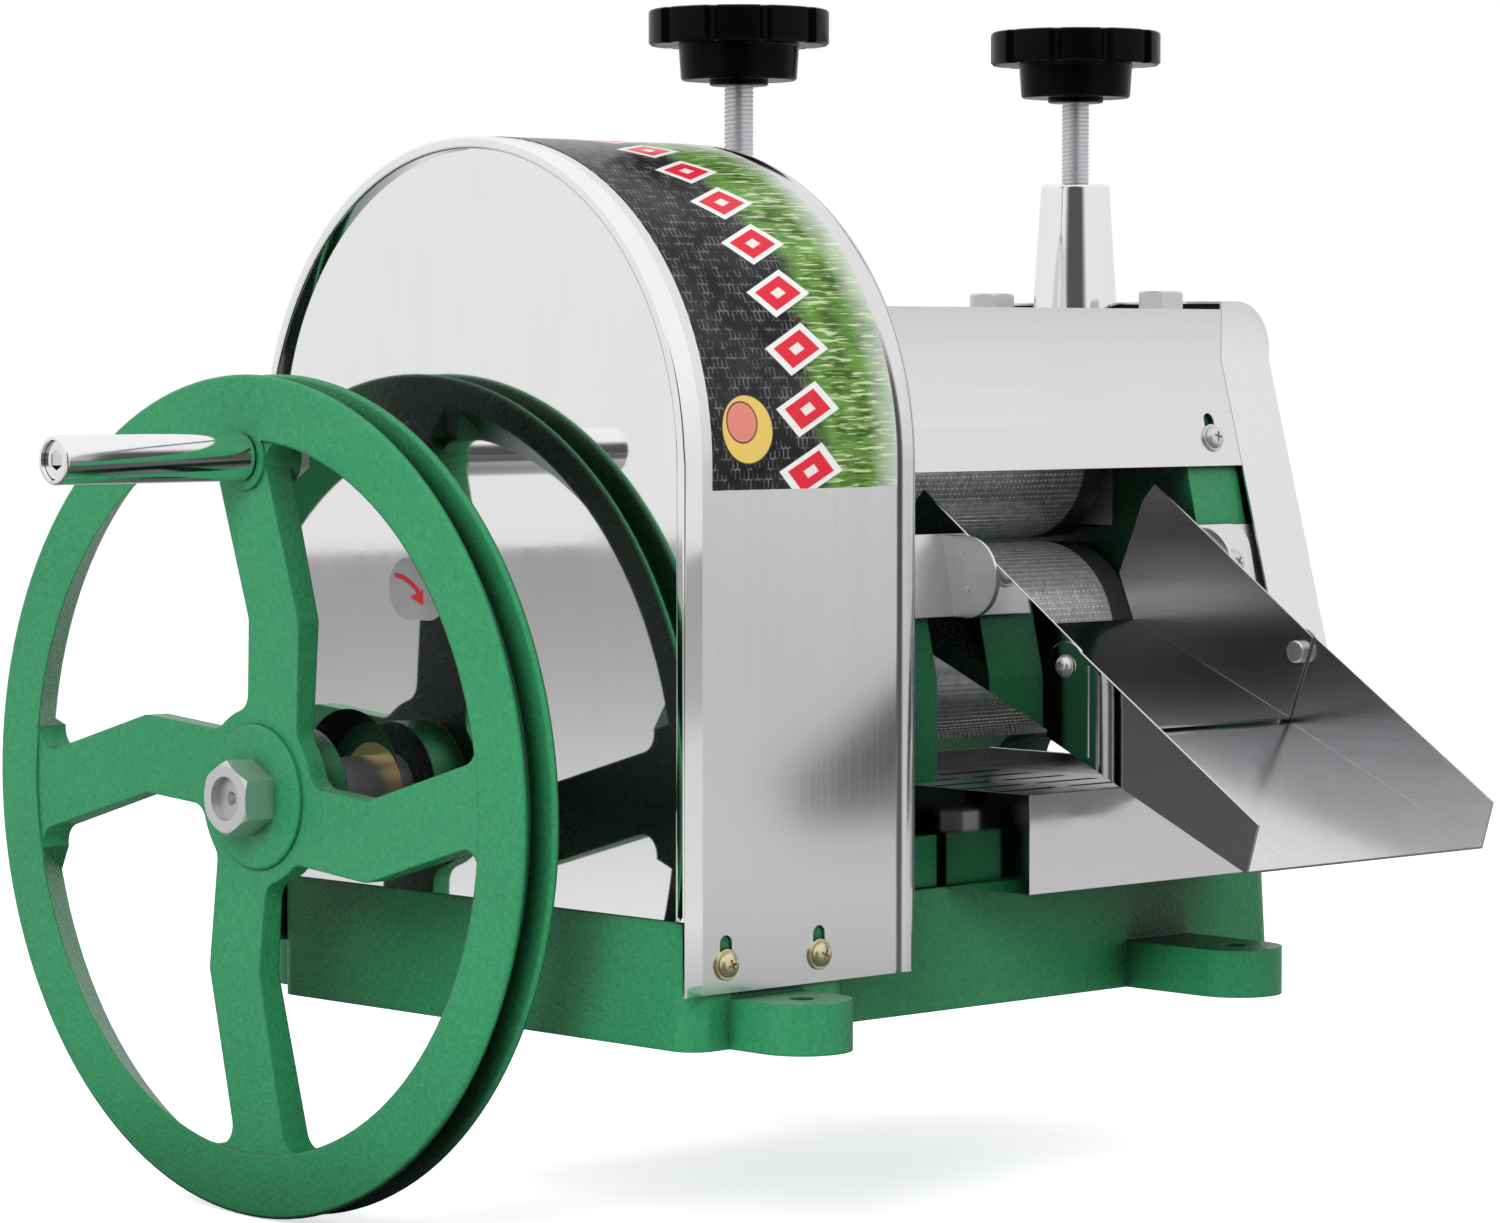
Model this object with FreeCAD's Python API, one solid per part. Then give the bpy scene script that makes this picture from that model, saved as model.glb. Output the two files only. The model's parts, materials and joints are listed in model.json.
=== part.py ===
import FreeCAD, Part
import math
import os
from FreeCAD import Vector

# A hand-cranked two-roller sugarcane juicer.
# Axes: X runs along the rollers, away from the handwheel. Y runs from the feed side to the back.
# Z is up. The origin is the centre of the four bench holes, on the base's underside.
# Every length is in millimetres.

# ---- driving dimensions ----------------------------------------------------------------------

# bench holes and base casting
bench_span_x = 282.0
bench_hole_r = 5.5
lobe_r = 22.0
lobe_high = 22.0
lobe_out = 21.5
base_high = 56.0
base_wall = 8.0
base_draft = 2.0
base_corner_r = 12.0
case_block_long = 95.5
frame_ledge = 2.0

# side frames
frame_thick = 36.0
frame_gap = 194.0
frame_mid_x = 92.0
frame_top_deep = 158.0
frame_low_deep = 224.0
frame_shoulder = 5.0
frame_knee = 94.0
arch_deep = 90.0
arch_shift = -10.0
arch_high = 52.0
foot_high = 24.0
foot_pocket_high = 24.0
foot_pocket_deep = 23.0
foot_bolt_inset = 11.0
frame_boss_wall = 9.0
cap_thick = 18.5
cap_bolt_past = 15.0
cap_bolt_deep = 26.0
tie_past = 22.0
tie_rise = 5.7
tie_r = 9.0
tie_end_r = 6.0
tie_nut_high = 6.5
tie_end_past = 1.0

# sheet metal
sheet = 1.2
sheet_gap = 0.3

# drive shaft and handwheel
shaft_z = 99.0
shaft_y = 86.0
shaft_r = 15.0
shaft_past = 2.0
wheel_seat_r = 12.5
wheel_thread_r = 10.0
thread_long = 12.0
wheel_r = 190.0
wheel_wide = 21.5
wheel_gap = 40.0
rim_deep = 29.0
groove_wide = 14.5
groove_floor_wide = 8.0
groove_deep = 12.0
spoke_wide = 36.0
spoke_hub_inset = 6.5
spoke_rim_inset = 1.2
spoke_back = 16.0
spoke_root_shift = -10.0
spoke_bend_shift = -15.0
spoke_bend_r = 80.0
spoke_rim_shift = 10.0
hub_r = 33.0
hub_web = 7.0
hub_back_r = 30.0
hub_inset = 4.0
hub_long = 31.0
web_fillet = 9.0
nut_flats = 30.0
nut_high = 16.0
nut_recess = 4.0

# crank handle
handle_inset = 37.0
handle_side = 1.2
handle_r = 10.85
handle_long = 103.0
handle_end_gap = 0.5
handle_bolt_r = 6.0
handle_head_r = 8.5
handle_head_deep = 12.0
handle_socket = 8.0
handle_boss_r = 15.0
handle_boss_past = 0.5

# gears
module = 4.0
pressure_angle = 20.0
backlash = 0.35
drive_backlash = 0.95
drive_side_gap = 0.12
pinion_teeth = 21
bull_teeth = 66
top_gear_teeth = 22
low_gear_teeth = 24
bull_wide = 30.0
bull_gap = 34.0
bull_rim = 15.0
bull_hub = 18.0
bull_recess = 9.0
bull_window_r = 22.0
roller_gear_wide = 20.0
roller_gear_gap = 6.0
roller_gear_hub = 8.0
roller_gear_clear = 1.0
key_wide = 8.0
key_high = 7.0
key_end = 2.0
pinion_well_clear = 3.0

# rollers
top_roller_r = 43.0
low_roller_r = 47.0
roller_flute_long = 154.0
roller_side_clear = 4.0
roller_end_drop = 1.0
low_roller_lean = 9.3
flute_pitch = 3.0
flute_deep = 0.9
top_journal_r = 16.0
low_journal_r = 14.0
bush_wall = 6.0
running_fit = 0.05
seat_fit = 0.02
collar_wall = 9.0
collar_long = 12.0
collar_gap = 0.5

# shaft pedestal
pedestal_inset = 12.0
pedestal_long = 32.0
pedestal_foot = 16.0
pedestal_boss_wall = 10.0
pedestal_stem_step = 4.0
pedestal_bolt_span = 76.0
pedestal_bolt_edge = 10.0

# top roller's bearing blocks and pressure screws
block_wide = 84.0
block_high = 72.0
block_below = 36.0
slide_fit = 0.3
lift_range = 3.0
cap_clear = 10.4
screw_r = 7.0
screw_in_knob = 4.0
post_low_r = 20.7
post_top_r = 16.8
post_high = 62.0
post_spigot_r = 12.0
knob_r = 42.0
knob_lobes = 10
knob_groove_r = 3.2
knob_turn = 28.6
knob_high = 16.5
knob_neck_r = 27.0
knob_neck_taper = 1.0
knob_neck_high = 16.2
knob_foot_r = 13.7
knob_foot_high = 2.5
knob_lift = 43.0

# gear case
case_clear = 3.8
case_wide = 135.8
case_frame_gap = 8.6
case_bottom = 24.6
bead_wide = 5.5
bead_deep = 5.0
back_rim_wide = 12.0
bead_gap = 2.0
case_hole_r = 37.0
case_screw_z = 37.0
case_screw_inset = 18.7
case_screw_span = 55.6
keyhole_rise = 9.0
spacer_r = 8.0
label_thick = 0.25
label_inset = 11.0
label_low = 10.3
sticker_wide = 41.0
sticker_high = 28.0
sticker_side = 48.8
sticker_rise = 93.5

# hood and right-hand cover
hood_edge = 1.4
hood_fold = 24.7
hood_front_high = 75.8
hood_back_high = 52.0
hood_slope = 0.274
hood_screw_drop = 62.5
cover_clear = 6.8
cover_rise = 4.0
cover_bottom = 54.0
cover_corner_r = 24.0
standoff_r = 7.0

# feed chute; its points are given as (y, z) from the fold line
chute_past = 3.0
chute_fold_y = -171.0
chute_fold_z = 128.0
chute_floor_back = (98.5, 42.2)
chute_floor_front = (-114.0, -51.0)
chute_wall_back = [(107.8, 64.2), (92.5, 100.0), (85.0, 107.8)]
chute_kink = (-14.0, 38.0)
chute_tip = (-119.2, -32.5)
chute_pivot = (-6.0, 31.0)
chute_lap = 5.0
chute_floor_gap = 1.2
chute_side_gap = 0.4
ear_r = 11.0
rivet_r = 3.0
rivet_head_r = 5.2
rivet_head_high = 3.5
tab_r = 18.7
tab_reach = 8.0
bracket_rise = 68.7
bracket_thick = 1.5
bracket_corner_r = 12.0
bracket_inset = 3.0
backing_thick = 1.5
backing_past = 14.0

# juice tray and its strainer
tray_side_clear = 3.0
tray_long = 205.0
tray_past = 55.0
tray_high = 45.0
strainer_drop = 9.0
strainer_gap = 0.5
slot_wide = 5.0
slot_rows = 3
slot_columns = 8
slot_border = 14.0

# fasteners: radius of shank, width over flats, height of head
bolt_m14 = (7.0, 21.0, 8.8)
bolt_m12 = (6.0, 18.0, 9.0)
bolt_m10 = (5.0, 16.0, 6.4)
screw_m6 = (3.0, 5.4, 3.2)
hole_clear = 0.5
washer_lip = 1.4
washer_high = 1.2
screw_long = 12.0

# ---- places worked out from the driving dimensions ---------------------------------------------

bull_pitch_r = module * bull_teeth / 2
pinion_pitch_r = module * pinion_teeth / 2
drive_centres = bull_pitch_r + pinion_pitch_r
top_y = 0.0
top_z = shaft_z + math.sqrt(drive_centres**2 - (shaft_y - top_y) ** 2)
roller_centres = module * (top_gear_teeth + low_gear_teeth) / 2
lean = math.radians(low_roller_lean)
low_y = top_y - roller_centres * math.sin(lean)
low_z = top_z - roller_centres * math.cos(lean)

slot_floor = top_z - block_below
block_bottom = slot_floor + slide_fit
block_top = block_bottom + block_high
frame_top_z = block_top + lift_range + cap_clear
cap_top = frame_top_z + cap_thick
shoulder_z = frame_top_z - frame_shoulder
knee_z = base_high + frame_knee
arch_top_z = base_high + arch_high
cap_bolt_y = block_wide / 2 + cap_bolt_past
tie_y = block_wide / 2 + tie_past
tie_z = top_z + tie_rise
foot_bolt_y = frame_low_deep / 2 - foot_bolt_inset
arch_back_y = arch_shift + arch_deep / 2
inner_bolt_y = arch_back_y + foot_bolt_inset

left_in = frame_mid_x - frame_gap / 2
left_out = left_in - frame_thick
right_in = frame_mid_x + frame_gap / 2
right_out = right_in + frame_thick
left_mid = (left_in + left_out) / 2
right_mid = (right_in + right_out) / 2

case_r = bull_pitch_r + module + lift_range + sheet + case_clear
case_right = left_out - case_frame_gap
case_left = case_right - case_wide
case_block_right = case_left + case_block_long
case_block_half = case_r - sheet - sheet_gap
bench_half_y = case_block_half + lobe_out
roller_block_half = frame_low_deep / 2 + frame_ledge
pedestal_left = case_left + pedestal_inset
pedestal_wide = pedestal_bolt_span + 2 * pedestal_bolt_edge
pedestal_right = pedestal_left + pedestal_long

wheel_face = case_left - wheel_gap - wheel_wide
wheel_back = wheel_face + wheel_wide
handle_boss_back = wheel_back + handle_boss_past
hub_front = wheel_face + hub_inset
hub_back = hub_front + hub_long
nut_face = hub_front - nut_high
shaft_left = nut_face + nut_recess

bull_right = left_out - bull_gap
bull_left = bull_right - bull_wide
bull_middle = (bull_left + bull_right) / 2
roller_gear_left = right_out + roller_gear_gap
roller_gear_right = roller_gear_left + roller_gear_wide
cover_right = roller_gear_right + shaft_past + cover_clear + sheet

hood_z = cap_top + sheet_gap + sheet
hood_half = frame_top_deep / 2 + hood_edge
hood_kink_z = hood_z - hood_fold
hood_bottom_z = hood_z - hood_front_high
hood_back_z = hood_z - hood_back_high
hood_screw_z = hood_z - hood_screw_drop
cover_bottom_z = base_high + cover_bottom

post_top = hood_z + post_high
knob_foot = post_top + knob_lift
knob_neck_top = knob_foot + knob_neck_high
knob_top = knob_neck_top + knob_high

chute_left = frame_mid_x - roller_flute_long / 2 - chute_past
chute_right = frame_mid_x + roller_flute_long / 2 + chute_past
bracket_z = chute_fold_z + bracket_rise
tray_left = left_in + tray_side_clear
tray_right = right_in - tray_side_clear
tray_front = -frame_low_deep / 2 - tray_past
tray_floor = base_high + sheet_gap
tray_top = tray_floor + tray_high


def frame_front_y(z):
    """Y of a side frame's front face at height z."""
    low_y_front = -frame_low_deep / 2
    top_y_front = -frame_top_deep / 2
    if z <= knee_z:
        return low_y_front
    if z >= shoulder_z:
        return top_y_front
    share = (z - knee_z) / (shoulder_z - knee_z)
    return low_y_front + share * (top_y_front - low_y_front)


def hood_front_y(z):
    """Y of the hood's outer front face at height z."""
    return -hood_half - max(0.0, hood_kink_z - z) * hood_slope


def from_fold(offset):
    """Flat (y, z) point of the chute from its offset to the fold line."""
    return chute_fold_y + offset[0], chute_fold_z + offset[1]


# ---- small building blocks ---------------------------------------------------------------------


def box(x0, x1, y0, y1, z0, z1):
    """Block between two corners."""
    return Part.makeBox(x1 - x0, y1 - y0, z1 - z0, Vector(x0, y0, z0))


def rod_x(x0, x1, y, z, r):
    """Cylinder along X."""
    return Part.makeCylinder(r, x1 - x0, Vector(x0, y, z), Vector(1, 0, 0))


def rod_y(x, y0, y1, z, r):
    """Cylinder along Y."""
    return Part.makeCylinder(r, y1 - y0, Vector(x, y0, z), Vector(0, 1, 0))


def rod_z(x, y, z0, z1, r):
    """Cylinder along Z."""
    return Part.makeCylinder(r, z1 - z0, Vector(x, y, z0), Vector(0, 0, 1))


def place_yz(x):
    """Maps a flat (y, z) point to the plane at x."""
    return lambda p: Vector(x, p[0], p[1])


def place_xy(z):
    """Maps a flat (x, y) point to the plane at z."""
    return lambda p: Vector(p[0], p[1], z)


def unit(dx, dy):
    """Unit vector of a flat direction."""
    size = math.hypot(dx, dy)
    return dx / size, dy / size


def outline(points, radii, place):
    """Closed wire through flat points, with each corner rounded to its radius."""
    corners = []
    count = len(points)
    for i, p in enumerate(points):
        radius = radii[i]
        if radius <= 0:
            corners.append((p, None, p))
            continue
        before = points[i - 1]
        after = points[(i + 1) % count]
        ua = unit(before[0] - p[0], before[1] - p[1])
        ub = unit(after[0] - p[0], after[1] - p[1])
        bis = unit(ua[0] + ub[0], ua[1] + ub[1])
        half = math.acos(max(-1.0, min(1.0, ua[0] * ub[0] + ua[1] * ub[1]))) / 2
        reach = radius / math.tan(half)
        deep = radius / math.sin(half) - radius
        start = (p[0] + ua[0] * reach, p[1] + ua[1] * reach)
        end = (p[0] + ub[0] * reach, p[1] + ub[1] * reach)
        corners.append((start, (p[0] + bis[0] * deep, p[1] + bis[1] * deep), end))
    edges = []
    for i, (start, middle, end) in enumerate(corners):
        if middle is not None:
            edges.append(Part.Arc(place(start), place(middle), place(end)).toShape())
        following = corners[(i + 1) % count][0]
        if math.dist(end, following) > 1e-6:
            edges.append(Part.LineSegment(place(end), place(following)).toShape())
    return Part.Wire(edges)


def prism_x(points, radii, x0, x1):
    """Flat (y, z) outline drawn out along X."""
    face = Part.Face(outline(points, radii, place_yz(x0)))
    return face.extrude(Vector(x1 - x0, 0, 0))


def sharp_prism_x(points, x0, x1):
    """Flat (y, z) outline with sharp corners drawn out along X."""
    return prism_x(points, [0] * len(points), x0, x1)


def rectangle(x0, x1, y0, y1):
    """Corners of a rectangle."""
    return [(x0, y0), (x1, y0), (x1, y1), (x0, y1)]


def drafted_block(x0, x1, y0, y1, z0, z1, draft, radius):
    """Rounded block that narrows by draft on each side towards its top."""
    low = outline(rectangle(x0, x1, y0, y1), [radius] * 4, place_xy(z0))
    high_corners = rectangle(x0 + draft, x1 - draft, y0 + draft, y1 - draft)
    high = outline(high_corners, [radius] * 4, place_xy(z1))
    return Part.makeLoft([low, high], True, True)


def offset_path(path, distance):
    """Open flat path moved sideways by distance, to its left."""
    normals = []
    for a, b in zip(path, path[1:]):
        ux, uy = unit(b[0] - a[0], b[1] - a[1])
        normals.append((-uy * distance, ux * distance))
    moved = [(path[0][0] + normals[0][0], path[0][1] + normals[0][1])]
    for i in range(1, len(path) - 1):
        n0, n1 = normals[i - 1], normals[i]
        scale = distance**2 / (distance**2 + n0[0] * n1[0] + n0[1] * n1[1])
        moved.append((path[i][0] + (n0[0] + n1[0]) * scale, path[i][1] + (n0[1] + n1[1]) * scale))
    moved.append((path[-1][0] + normals[-1][0], path[-1][1] + normals[-1][1]))
    return moved


def strip_x(path, thick, x0, x1):
    """Sheet strip along a flat (y, z) path, thick to the path's left, drawn out along X."""
    ring = path + offset_path(path, thick)[::-1]
    return sharp_prism_x(ring, x0, x1)


def hexagon(flats, high, centre, axis):
    """Hexagonal prism from centre along axis."""
    corner = flats / math.sqrt(3)
    turns = [math.radians(60 * i) for i in range(7)]
    points = [Vector(corner * math.cos(a), corner * math.sin(a), 0) for a in turns]
    prism = Part.Face(Part.makePolygon(points)).extrude(Vector(0, 0, high))
    prism.Placement = FreeCAD.Placement(centre, FreeCAD.Rotation(Vector(0, 0, 1), axis))
    return prism


def bolt(size, long, seat, axis):
    """Hexagon bolt: head outward from seat along axis, shank the other way."""
    shank_r, flats, head = size
    shank = Part.makeCylinder(shank_r, long, seat - axis * long, axis)
    return shank.fuse(hexagon(flats, head, seat, axis)).removeSplitter()


def pan_screw(long, seat, axis):
    """Pan-head screw with its washer: the washer lies on seat, the shank goes the other way."""
    shank_r, head_r, head = screw_m6
    washer = Part.makeCylinder(head_r + washer_lip, washer_high, seat, axis)
    dome = Part.makeCone(head_r, head_r * 0.7, head, seat + axis * washer_high, axis)
    shank = Part.makeCylinder(shank_r, long, seat - axis * long, axis)
    return shank.fuse([washer, dome]).removeSplitter()


def involute(angle):
    """Involute function of an angle in radians."""
    return math.tan(angle) - angle


def gear_blank(teeth, phase, centre, x0, x1, play):
    """Spur gear with straight-sided facets along an involute. One tooth stands at the phase angle."""
    y, z = centre
    pitch_r = module * teeth / 2
    base_r = pitch_r * math.cos(math.radians(pressure_angle))
    root_r = pitch_r - 1.25 * module
    tip_r = pitch_r + module
    start_r = max(base_r, root_r)
    half_pitch = math.pi / (2 * teeth) - play / (4 * pitch_r)
    lead = half_pitch + involute(math.radians(pressure_angle))
    flank = []
    steps = 3
    for i in range(steps + 1):
        r = start_r + (tip_r - start_r) * i / steps
        flank.append((r, lead - involute(math.acos(base_r / r))))
    if root_r < base_r:
        flank.insert(0, (root_r, flank[0][1]))
    points = []
    for tooth in range(teeth):
        middle = phase + 2 * math.pi * tooth / teeth
        for r, half in flank:
            points.append((y + r * math.cos(middle - half), z + r * math.sin(middle - half)))
        for r, half in reversed(flank):
            points.append((y + r * math.cos(middle + half), z + r * math.sin(middle + half)))
    return sharp_prism_x(points, x0, x1)


def meshing_phase(phase, teeth, angle, mate_teeth):
    """Phase of a mate that lies at angle from a gear, so that its gap meets the gear's tooth."""
    lag = (phase - angle) * teeth + math.pi
    return angle + math.pi - lag / mate_teeth


def write(name, shape):
    """Writes one node to its file."""
    shape.exportStep("parts/" + name + ".step")


def group(solids):
    """Several separate solids in one node."""
    return Part.makeCompound(solids)


# ---- base and frames ---------------------------------------------------------------------------

def base_casting():
    """Hollow base: a deep block under the gear case, a narrower one under the rollers, four lobes."""
    left = drafted_block(case_left, case_block_right, -case_block_half, case_block_half,
                         0, base_high, 0.0, base_corner_r)
    low_half = roller_block_half + base_draft
    right = drafted_block(case_block_right - 2 * base_corner_r, right_out + base_draft, -low_half, low_half,
                          0, base_high, base_draft, base_corner_r)
    body = left.fuse(right)
    for x, y in bench_places():
        inner = math.copysign(roller_block_half - base_wall, y)
        tab = box(x - lobe_r, x + lobe_r, min(y, inner), max(y, inner), 0, lobe_high)
        body = body.fuse([rod_z(x, y, 0, lobe_high, lobe_r), tab])
    wall = base_wall + base_draft
    hollow_top = base_high - base_wall
    left_hollow = box(case_left + wall, case_block_right - wall, -case_block_half + wall,
                      case_block_half - wall, 0, hollow_top)
    right_hollow = box(case_block_right, right_out - base_wall, -roller_block_half + base_wall,
                       roller_block_half - base_wall, 0, hollow_top)
    well_r = pinion_pitch_r + module + pinion_well_clear
    well = rod_x(bull_left - pinion_well_clear, bull_right + pinion_well_clear, shaft_y, shaft_z, well_r)
    body = body.cut([left_hollow, right_hollow, well])
    for x, y in bench_places():
        body = body.cut(rod_z(x, y, 0, lobe_high, bench_hole_r))
    for x, y in foot_bolt_places():
        body = body.cut(rod_z(x, y, hollow_top - base_wall, base_high, bolt_m12[0] + seat_fit))
    for y in pedestal_bolt_places():
        middle = (pedestal_left + pedestal_right) / 2
        body = body.cut(rod_z(middle, y, hollow_top - base_wall, base_high, bolt_m10[0] + seat_fit))
    for x in case_screw_places():
        for y in (-case_block_half, case_block_half):
            body = body.cut(rod_y(x, y - 2 * wall, y + 2 * wall, case_screw_z, screw_m6[0] + seat_fit))
    return body.removeSplitter()


def bench_places():
    """Centres of the four bench holes."""
    return [(sx * bench_span_x / 2, sy * bench_half_y) for sx in (-1, 1) for sy in (-1, 1)]


def foot_bolt_places():
    """Centres of the bolts that hold the side frames down; one stands inside the drive shaft."""
    left = [(left_mid, -foot_bolt_y), (left_mid, inner_bolt_y)]
    right = [(right_mid, -foot_bolt_y), (right_mid, foot_bolt_y)]
    return left + right


def pedestal_bolt_places():
    """Y of the two bolts that hold the shaft pedestal down."""
    return [shaft_y - pedestal_bolt_span / 2, shaft_y + pedestal_bolt_span / 2]


def case_screw_places():
    """X of the screws that hold the gear case to the base."""
    first = case_left + case_screw_inset
    return [first, first + case_screw_span]


def foot_bolts():
    """Bolts through the side frames' feet into the base."""
    seat_z = base_high + foot_high
    long = foot_high + 2 * base_wall - 1.0
    return group([bolt(bolt_m12, long, Vector(x, y, seat_z), Vector(0, 0, 1))
                  for x, y in foot_bolt_places()])


def frame_outline():
    """Front and rear edges of a side frame, seen along X."""
    top = frame_top_deep / 2
    low = frame_low_deep / 2
    return [(-low, base_high), (low, base_high), (low, knee_z), (top, shoulder_z), (top, frame_top_z),
            (-top, frame_top_z), (-top, shoulder_z), (-low, knee_z)]


def side_frame(x0, x1, carries_shaft):
    """Side frame: an arch, a slot for the top bearing block, and a bolt pocket over each foot."""
    body = prism_x(frame_outline(), [0, 0, 10, 6, 0, 0, 6, 10], x0, x1)
    arch = rectangle(arch_shift - arch_deep / 2, arch_shift + arch_deep / 2, base_high - 1, arch_top_z)
    body = body.cut(prism_x(arch, [0, 0, 14, 14], x0, x1))
    body = body.cut(box(x0, x1, -block_wide / 2, block_wide / 2, slot_floor, frame_top_z))
    pocket_low = base_high + foot_high
    edge = frame_low_deep / 2
    body = body.cut(rod_x(x0, x1, low_y, low_z, low_journal_r + bush_wall + seat_fit))
    pockets = [foot_pocket(x0, x1, -edge, 1)]
    if carries_shaft:
        body = body.fuse(rod_x(x0, x1, shaft_y, shaft_z, shaft_r + bush_wall + frame_boss_wall))
        body = body.removeSplitter().cut(rod_x(x0, x1, shaft_y, shaft_z, shaft_r + bush_wall + seat_fit))
        pockets.append(foot_pocket(x0, x1, arch_back_y, 1))
    else:
        pockets.append(foot_pocket(x0, x1, edge, -1))
    body = body.cut(pockets)
    middle = (x0 + x1) / 2
    for sy in (-1, 1):
        body = body.cut([rod_z(middle, sy * cap_bolt_y, frame_top_z - cap_bolt_deep, frame_top_z,
                               bolt_m14[0] + seat_fit),
                         rod_x(x0, x1, sy * tie_y, tie_z, tie_end_r + seat_fit)])
    for x, y in foot_bolt_places():
        body = body.cut(rod_z(x, y, base_high, pocket_low, bolt_m12[0] + seat_fit))
    return body.cut([front_screw_hole(middle, bracket_z, seat_fit), hood_screw_hole(middle)])


def foot_pocket(x0, x1, edge, inward):
    """Space over a foot for the head of its bolt, open at one edge of the foot."""
    low = base_high + foot_high
    inner = edge + inward * foot_pocket_deep
    outer = edge - inward * foot_pocket_deep
    corners = rectangle(min(inner, outer), max(inner, outer), low, low + foot_pocket_high)
    return prism_x(corners, [2, 2, 6, 6], x0, x1)


def front_tilt():
    """Direction square to the sloping front face of a side frame."""
    rise = shoulder_z - knee_z
    run = (frame_low_deep - frame_top_deep) / 2
    size = math.hypot(rise, run)
    return Vector(0, -rise / size, run / size)


def front_screw_hole(x, z, clear):
    """Hole for a screw that enters a side frame's front face square to it."""
    seat = Vector(x, frame_front_y(z), z)
    out = front_tilt()
    return Part.makeCylinder(screw_m6[0] + clear, screw_long + 6, seat - out * screw_long, out)


def frame_cap(x0, x1):
    """Bridge over a side frame's slot, with the post's hole and two bolt holes."""
    middle = (x0 + x1) / 2
    half = frame_top_deep / 2
    body = box(x0, x1, -half, half, frame_top_z, cap_top)
    body = body.cut(rod_z(middle, top_y, frame_top_z, cap_top, post_spigot_r + seat_fit))
    for sy in (-1, 1):
        body = body.cut(rod_z(middle, sy * cap_bolt_y, frame_top_z, cap_top, bolt_m14[0] + hole_clear))
    return body


def screw_post(x):
    """Conical post that guides a pressure screw; its spigot sits in the frame's cap."""
    cone = Part.makeCone(post_low_r, post_top_r, post_high, Vector(x, top_y, hood_z))
    spigot = rod_z(x, top_y, frame_top_z, hood_z, post_spigot_r)
    bore = rod_z(x, top_y, frame_top_z, post_top, screw_r + running_fit)
    return cone.fuse(spigot).removeSplitter().cut(bore)


def cap_bolts():
    """Bolts that hold the caps and the hood to the side frames."""
    seats = [(x, sy * cap_bolt_y) for x in (left_mid, right_mid) for sy in (-1, 1)]
    long = hood_z - frame_top_z + cap_bolt_deep - 1.0
    return group([bolt(bolt_m14, long, Vector(x, y, hood_z), Vector(0, 0, 1)) for x, y in seats])


def tie_rods():
    """Two shouldered rods that space the side frames."""
    rods = []
    past = tie_nut_high + tie_end_past
    for sy in (-1, 1):
        waist = rod_x(left_in, right_in, sy * tie_y, tie_z, tie_r)
        ends = rod_x(left_out - past, right_out + past, sy * tie_y, tie_z, tie_end_r)
        rods.append(waist.fuse(ends).removeSplitter())
    return group(rods)


def tie_rod_nuts():
    """Thin nuts on the tie rods' ends."""
    nuts = []
    for sy in (-1, 1):
        for x, way in ((left_out, -1), (right_out, 1)):
            nut = hexagon(bolt_m12[1], tie_nut_high, Vector(x, sy * tie_y, tie_z), Vector(way, 0, 0))
            bore = rod_x(x - tie_nut_high, x + tie_nut_high, sy * tie_y, tie_z, tie_end_r + seat_fit)
            nuts.append(nut.cut(bore))
    return group(nuts)


# ---- drive shaft, handwheel and handle ---------------------------------------------------------

def shaft_pedestal():
    """Outboard bearing pedestal inside the gear case."""
    x0 = pedestal_left
    x1 = pedestal_right
    half = pedestal_wide / 2
    boss_r = shaft_r + bush_wall + pedestal_boss_wall
    stem_half = boss_r - pedestal_stem_step
    foot = box(x0, x1, shaft_y - half, shaft_y + half, base_high, base_high + pedestal_foot)
    stem = box(x0, x1, shaft_y - stem_half, shaft_y + stem_half, base_high, shaft_z)
    body = foot.fuse([stem, rod_x(x0, x1, shaft_y, shaft_z, boss_r)]).removeSplitter()
    body = body.cut(rod_x(x0, x1, shaft_y, shaft_z, shaft_r + bush_wall + seat_fit))
    top = base_high + pedestal_foot
    for y in pedestal_bolt_places():
        body = body.cut(rod_z((x0 + x1) / 2, y, base_high, top, bolt_m10[0] + hole_clear))
    return body


def pedestal_bolts():
    """Bolts that hold the pedestal to the base."""
    x = (pedestal_left + pedestal_right) / 2
    seat_z = base_high + pedestal_foot
    long = pedestal_foot + base_wall - 1.0
    return group([bolt(bolt_m10, long, Vector(x, y, seat_z), Vector(0, 0, 1))
                  for y in pedestal_bolt_places()])


def bush(x0, x1, y, z, bore_r):
    """Plain bearing bush along X."""
    outer = rod_x(x0, x1, y, z, bore_r + bush_wall)
    return outer.cut(rod_x(x0, x1, y, z, bore_r + running_fit))


def collar(x0, x1, y, z, bore_r):
    """Set collar on a shaft."""
    return rod_x(x0, x1, y, z, bore_r + collar_wall).cut(rod_x(x0, x1, y, z, bore_r + seat_fit))


def top_key(x0, x1, y, z, r):
    """Key that lies half in the top of a shaft of radius r."""
    half = key_wide / 2
    return box(x0, x1, y - half, y + half, z + r - key_high / 2, z + r + key_high / 2)


def drive_shaft():
    """Stepped shaft: thread, handwheel seat, then the bearing length up to the left side frame."""
    thread = rod_x(shaft_left, hub_front, shaft_y, shaft_z, wheel_thread_r)
    centre = Part.makeCone(3.2, 0.8, 5.0, Vector(shaft_left, shaft_y, shaft_z), Vector(1, 0, 0))
    seat = rod_x(hub_front, hub_back, shaft_y, shaft_z, wheel_seat_r)
    long = rod_x(hub_back, left_in, shaft_y, shaft_z, shaft_r)
    body = thread.fuse([seat, long]).removeSplitter()
    return body.cut([centre, wheel_key(), pinion_key()])


def wheel_key():
    """Key between the drive shaft and the handwheel."""
    return top_key(hub_front + 3 * key_end, hub_back - key_end, shaft_y, shaft_z, wheel_seat_r)


def pinion_key():
    """Key between the drive shaft and the pinion."""
    return top_key(bull_left + key_end, bull_right - key_end, shaft_y, shaft_z, shaft_r)


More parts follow.
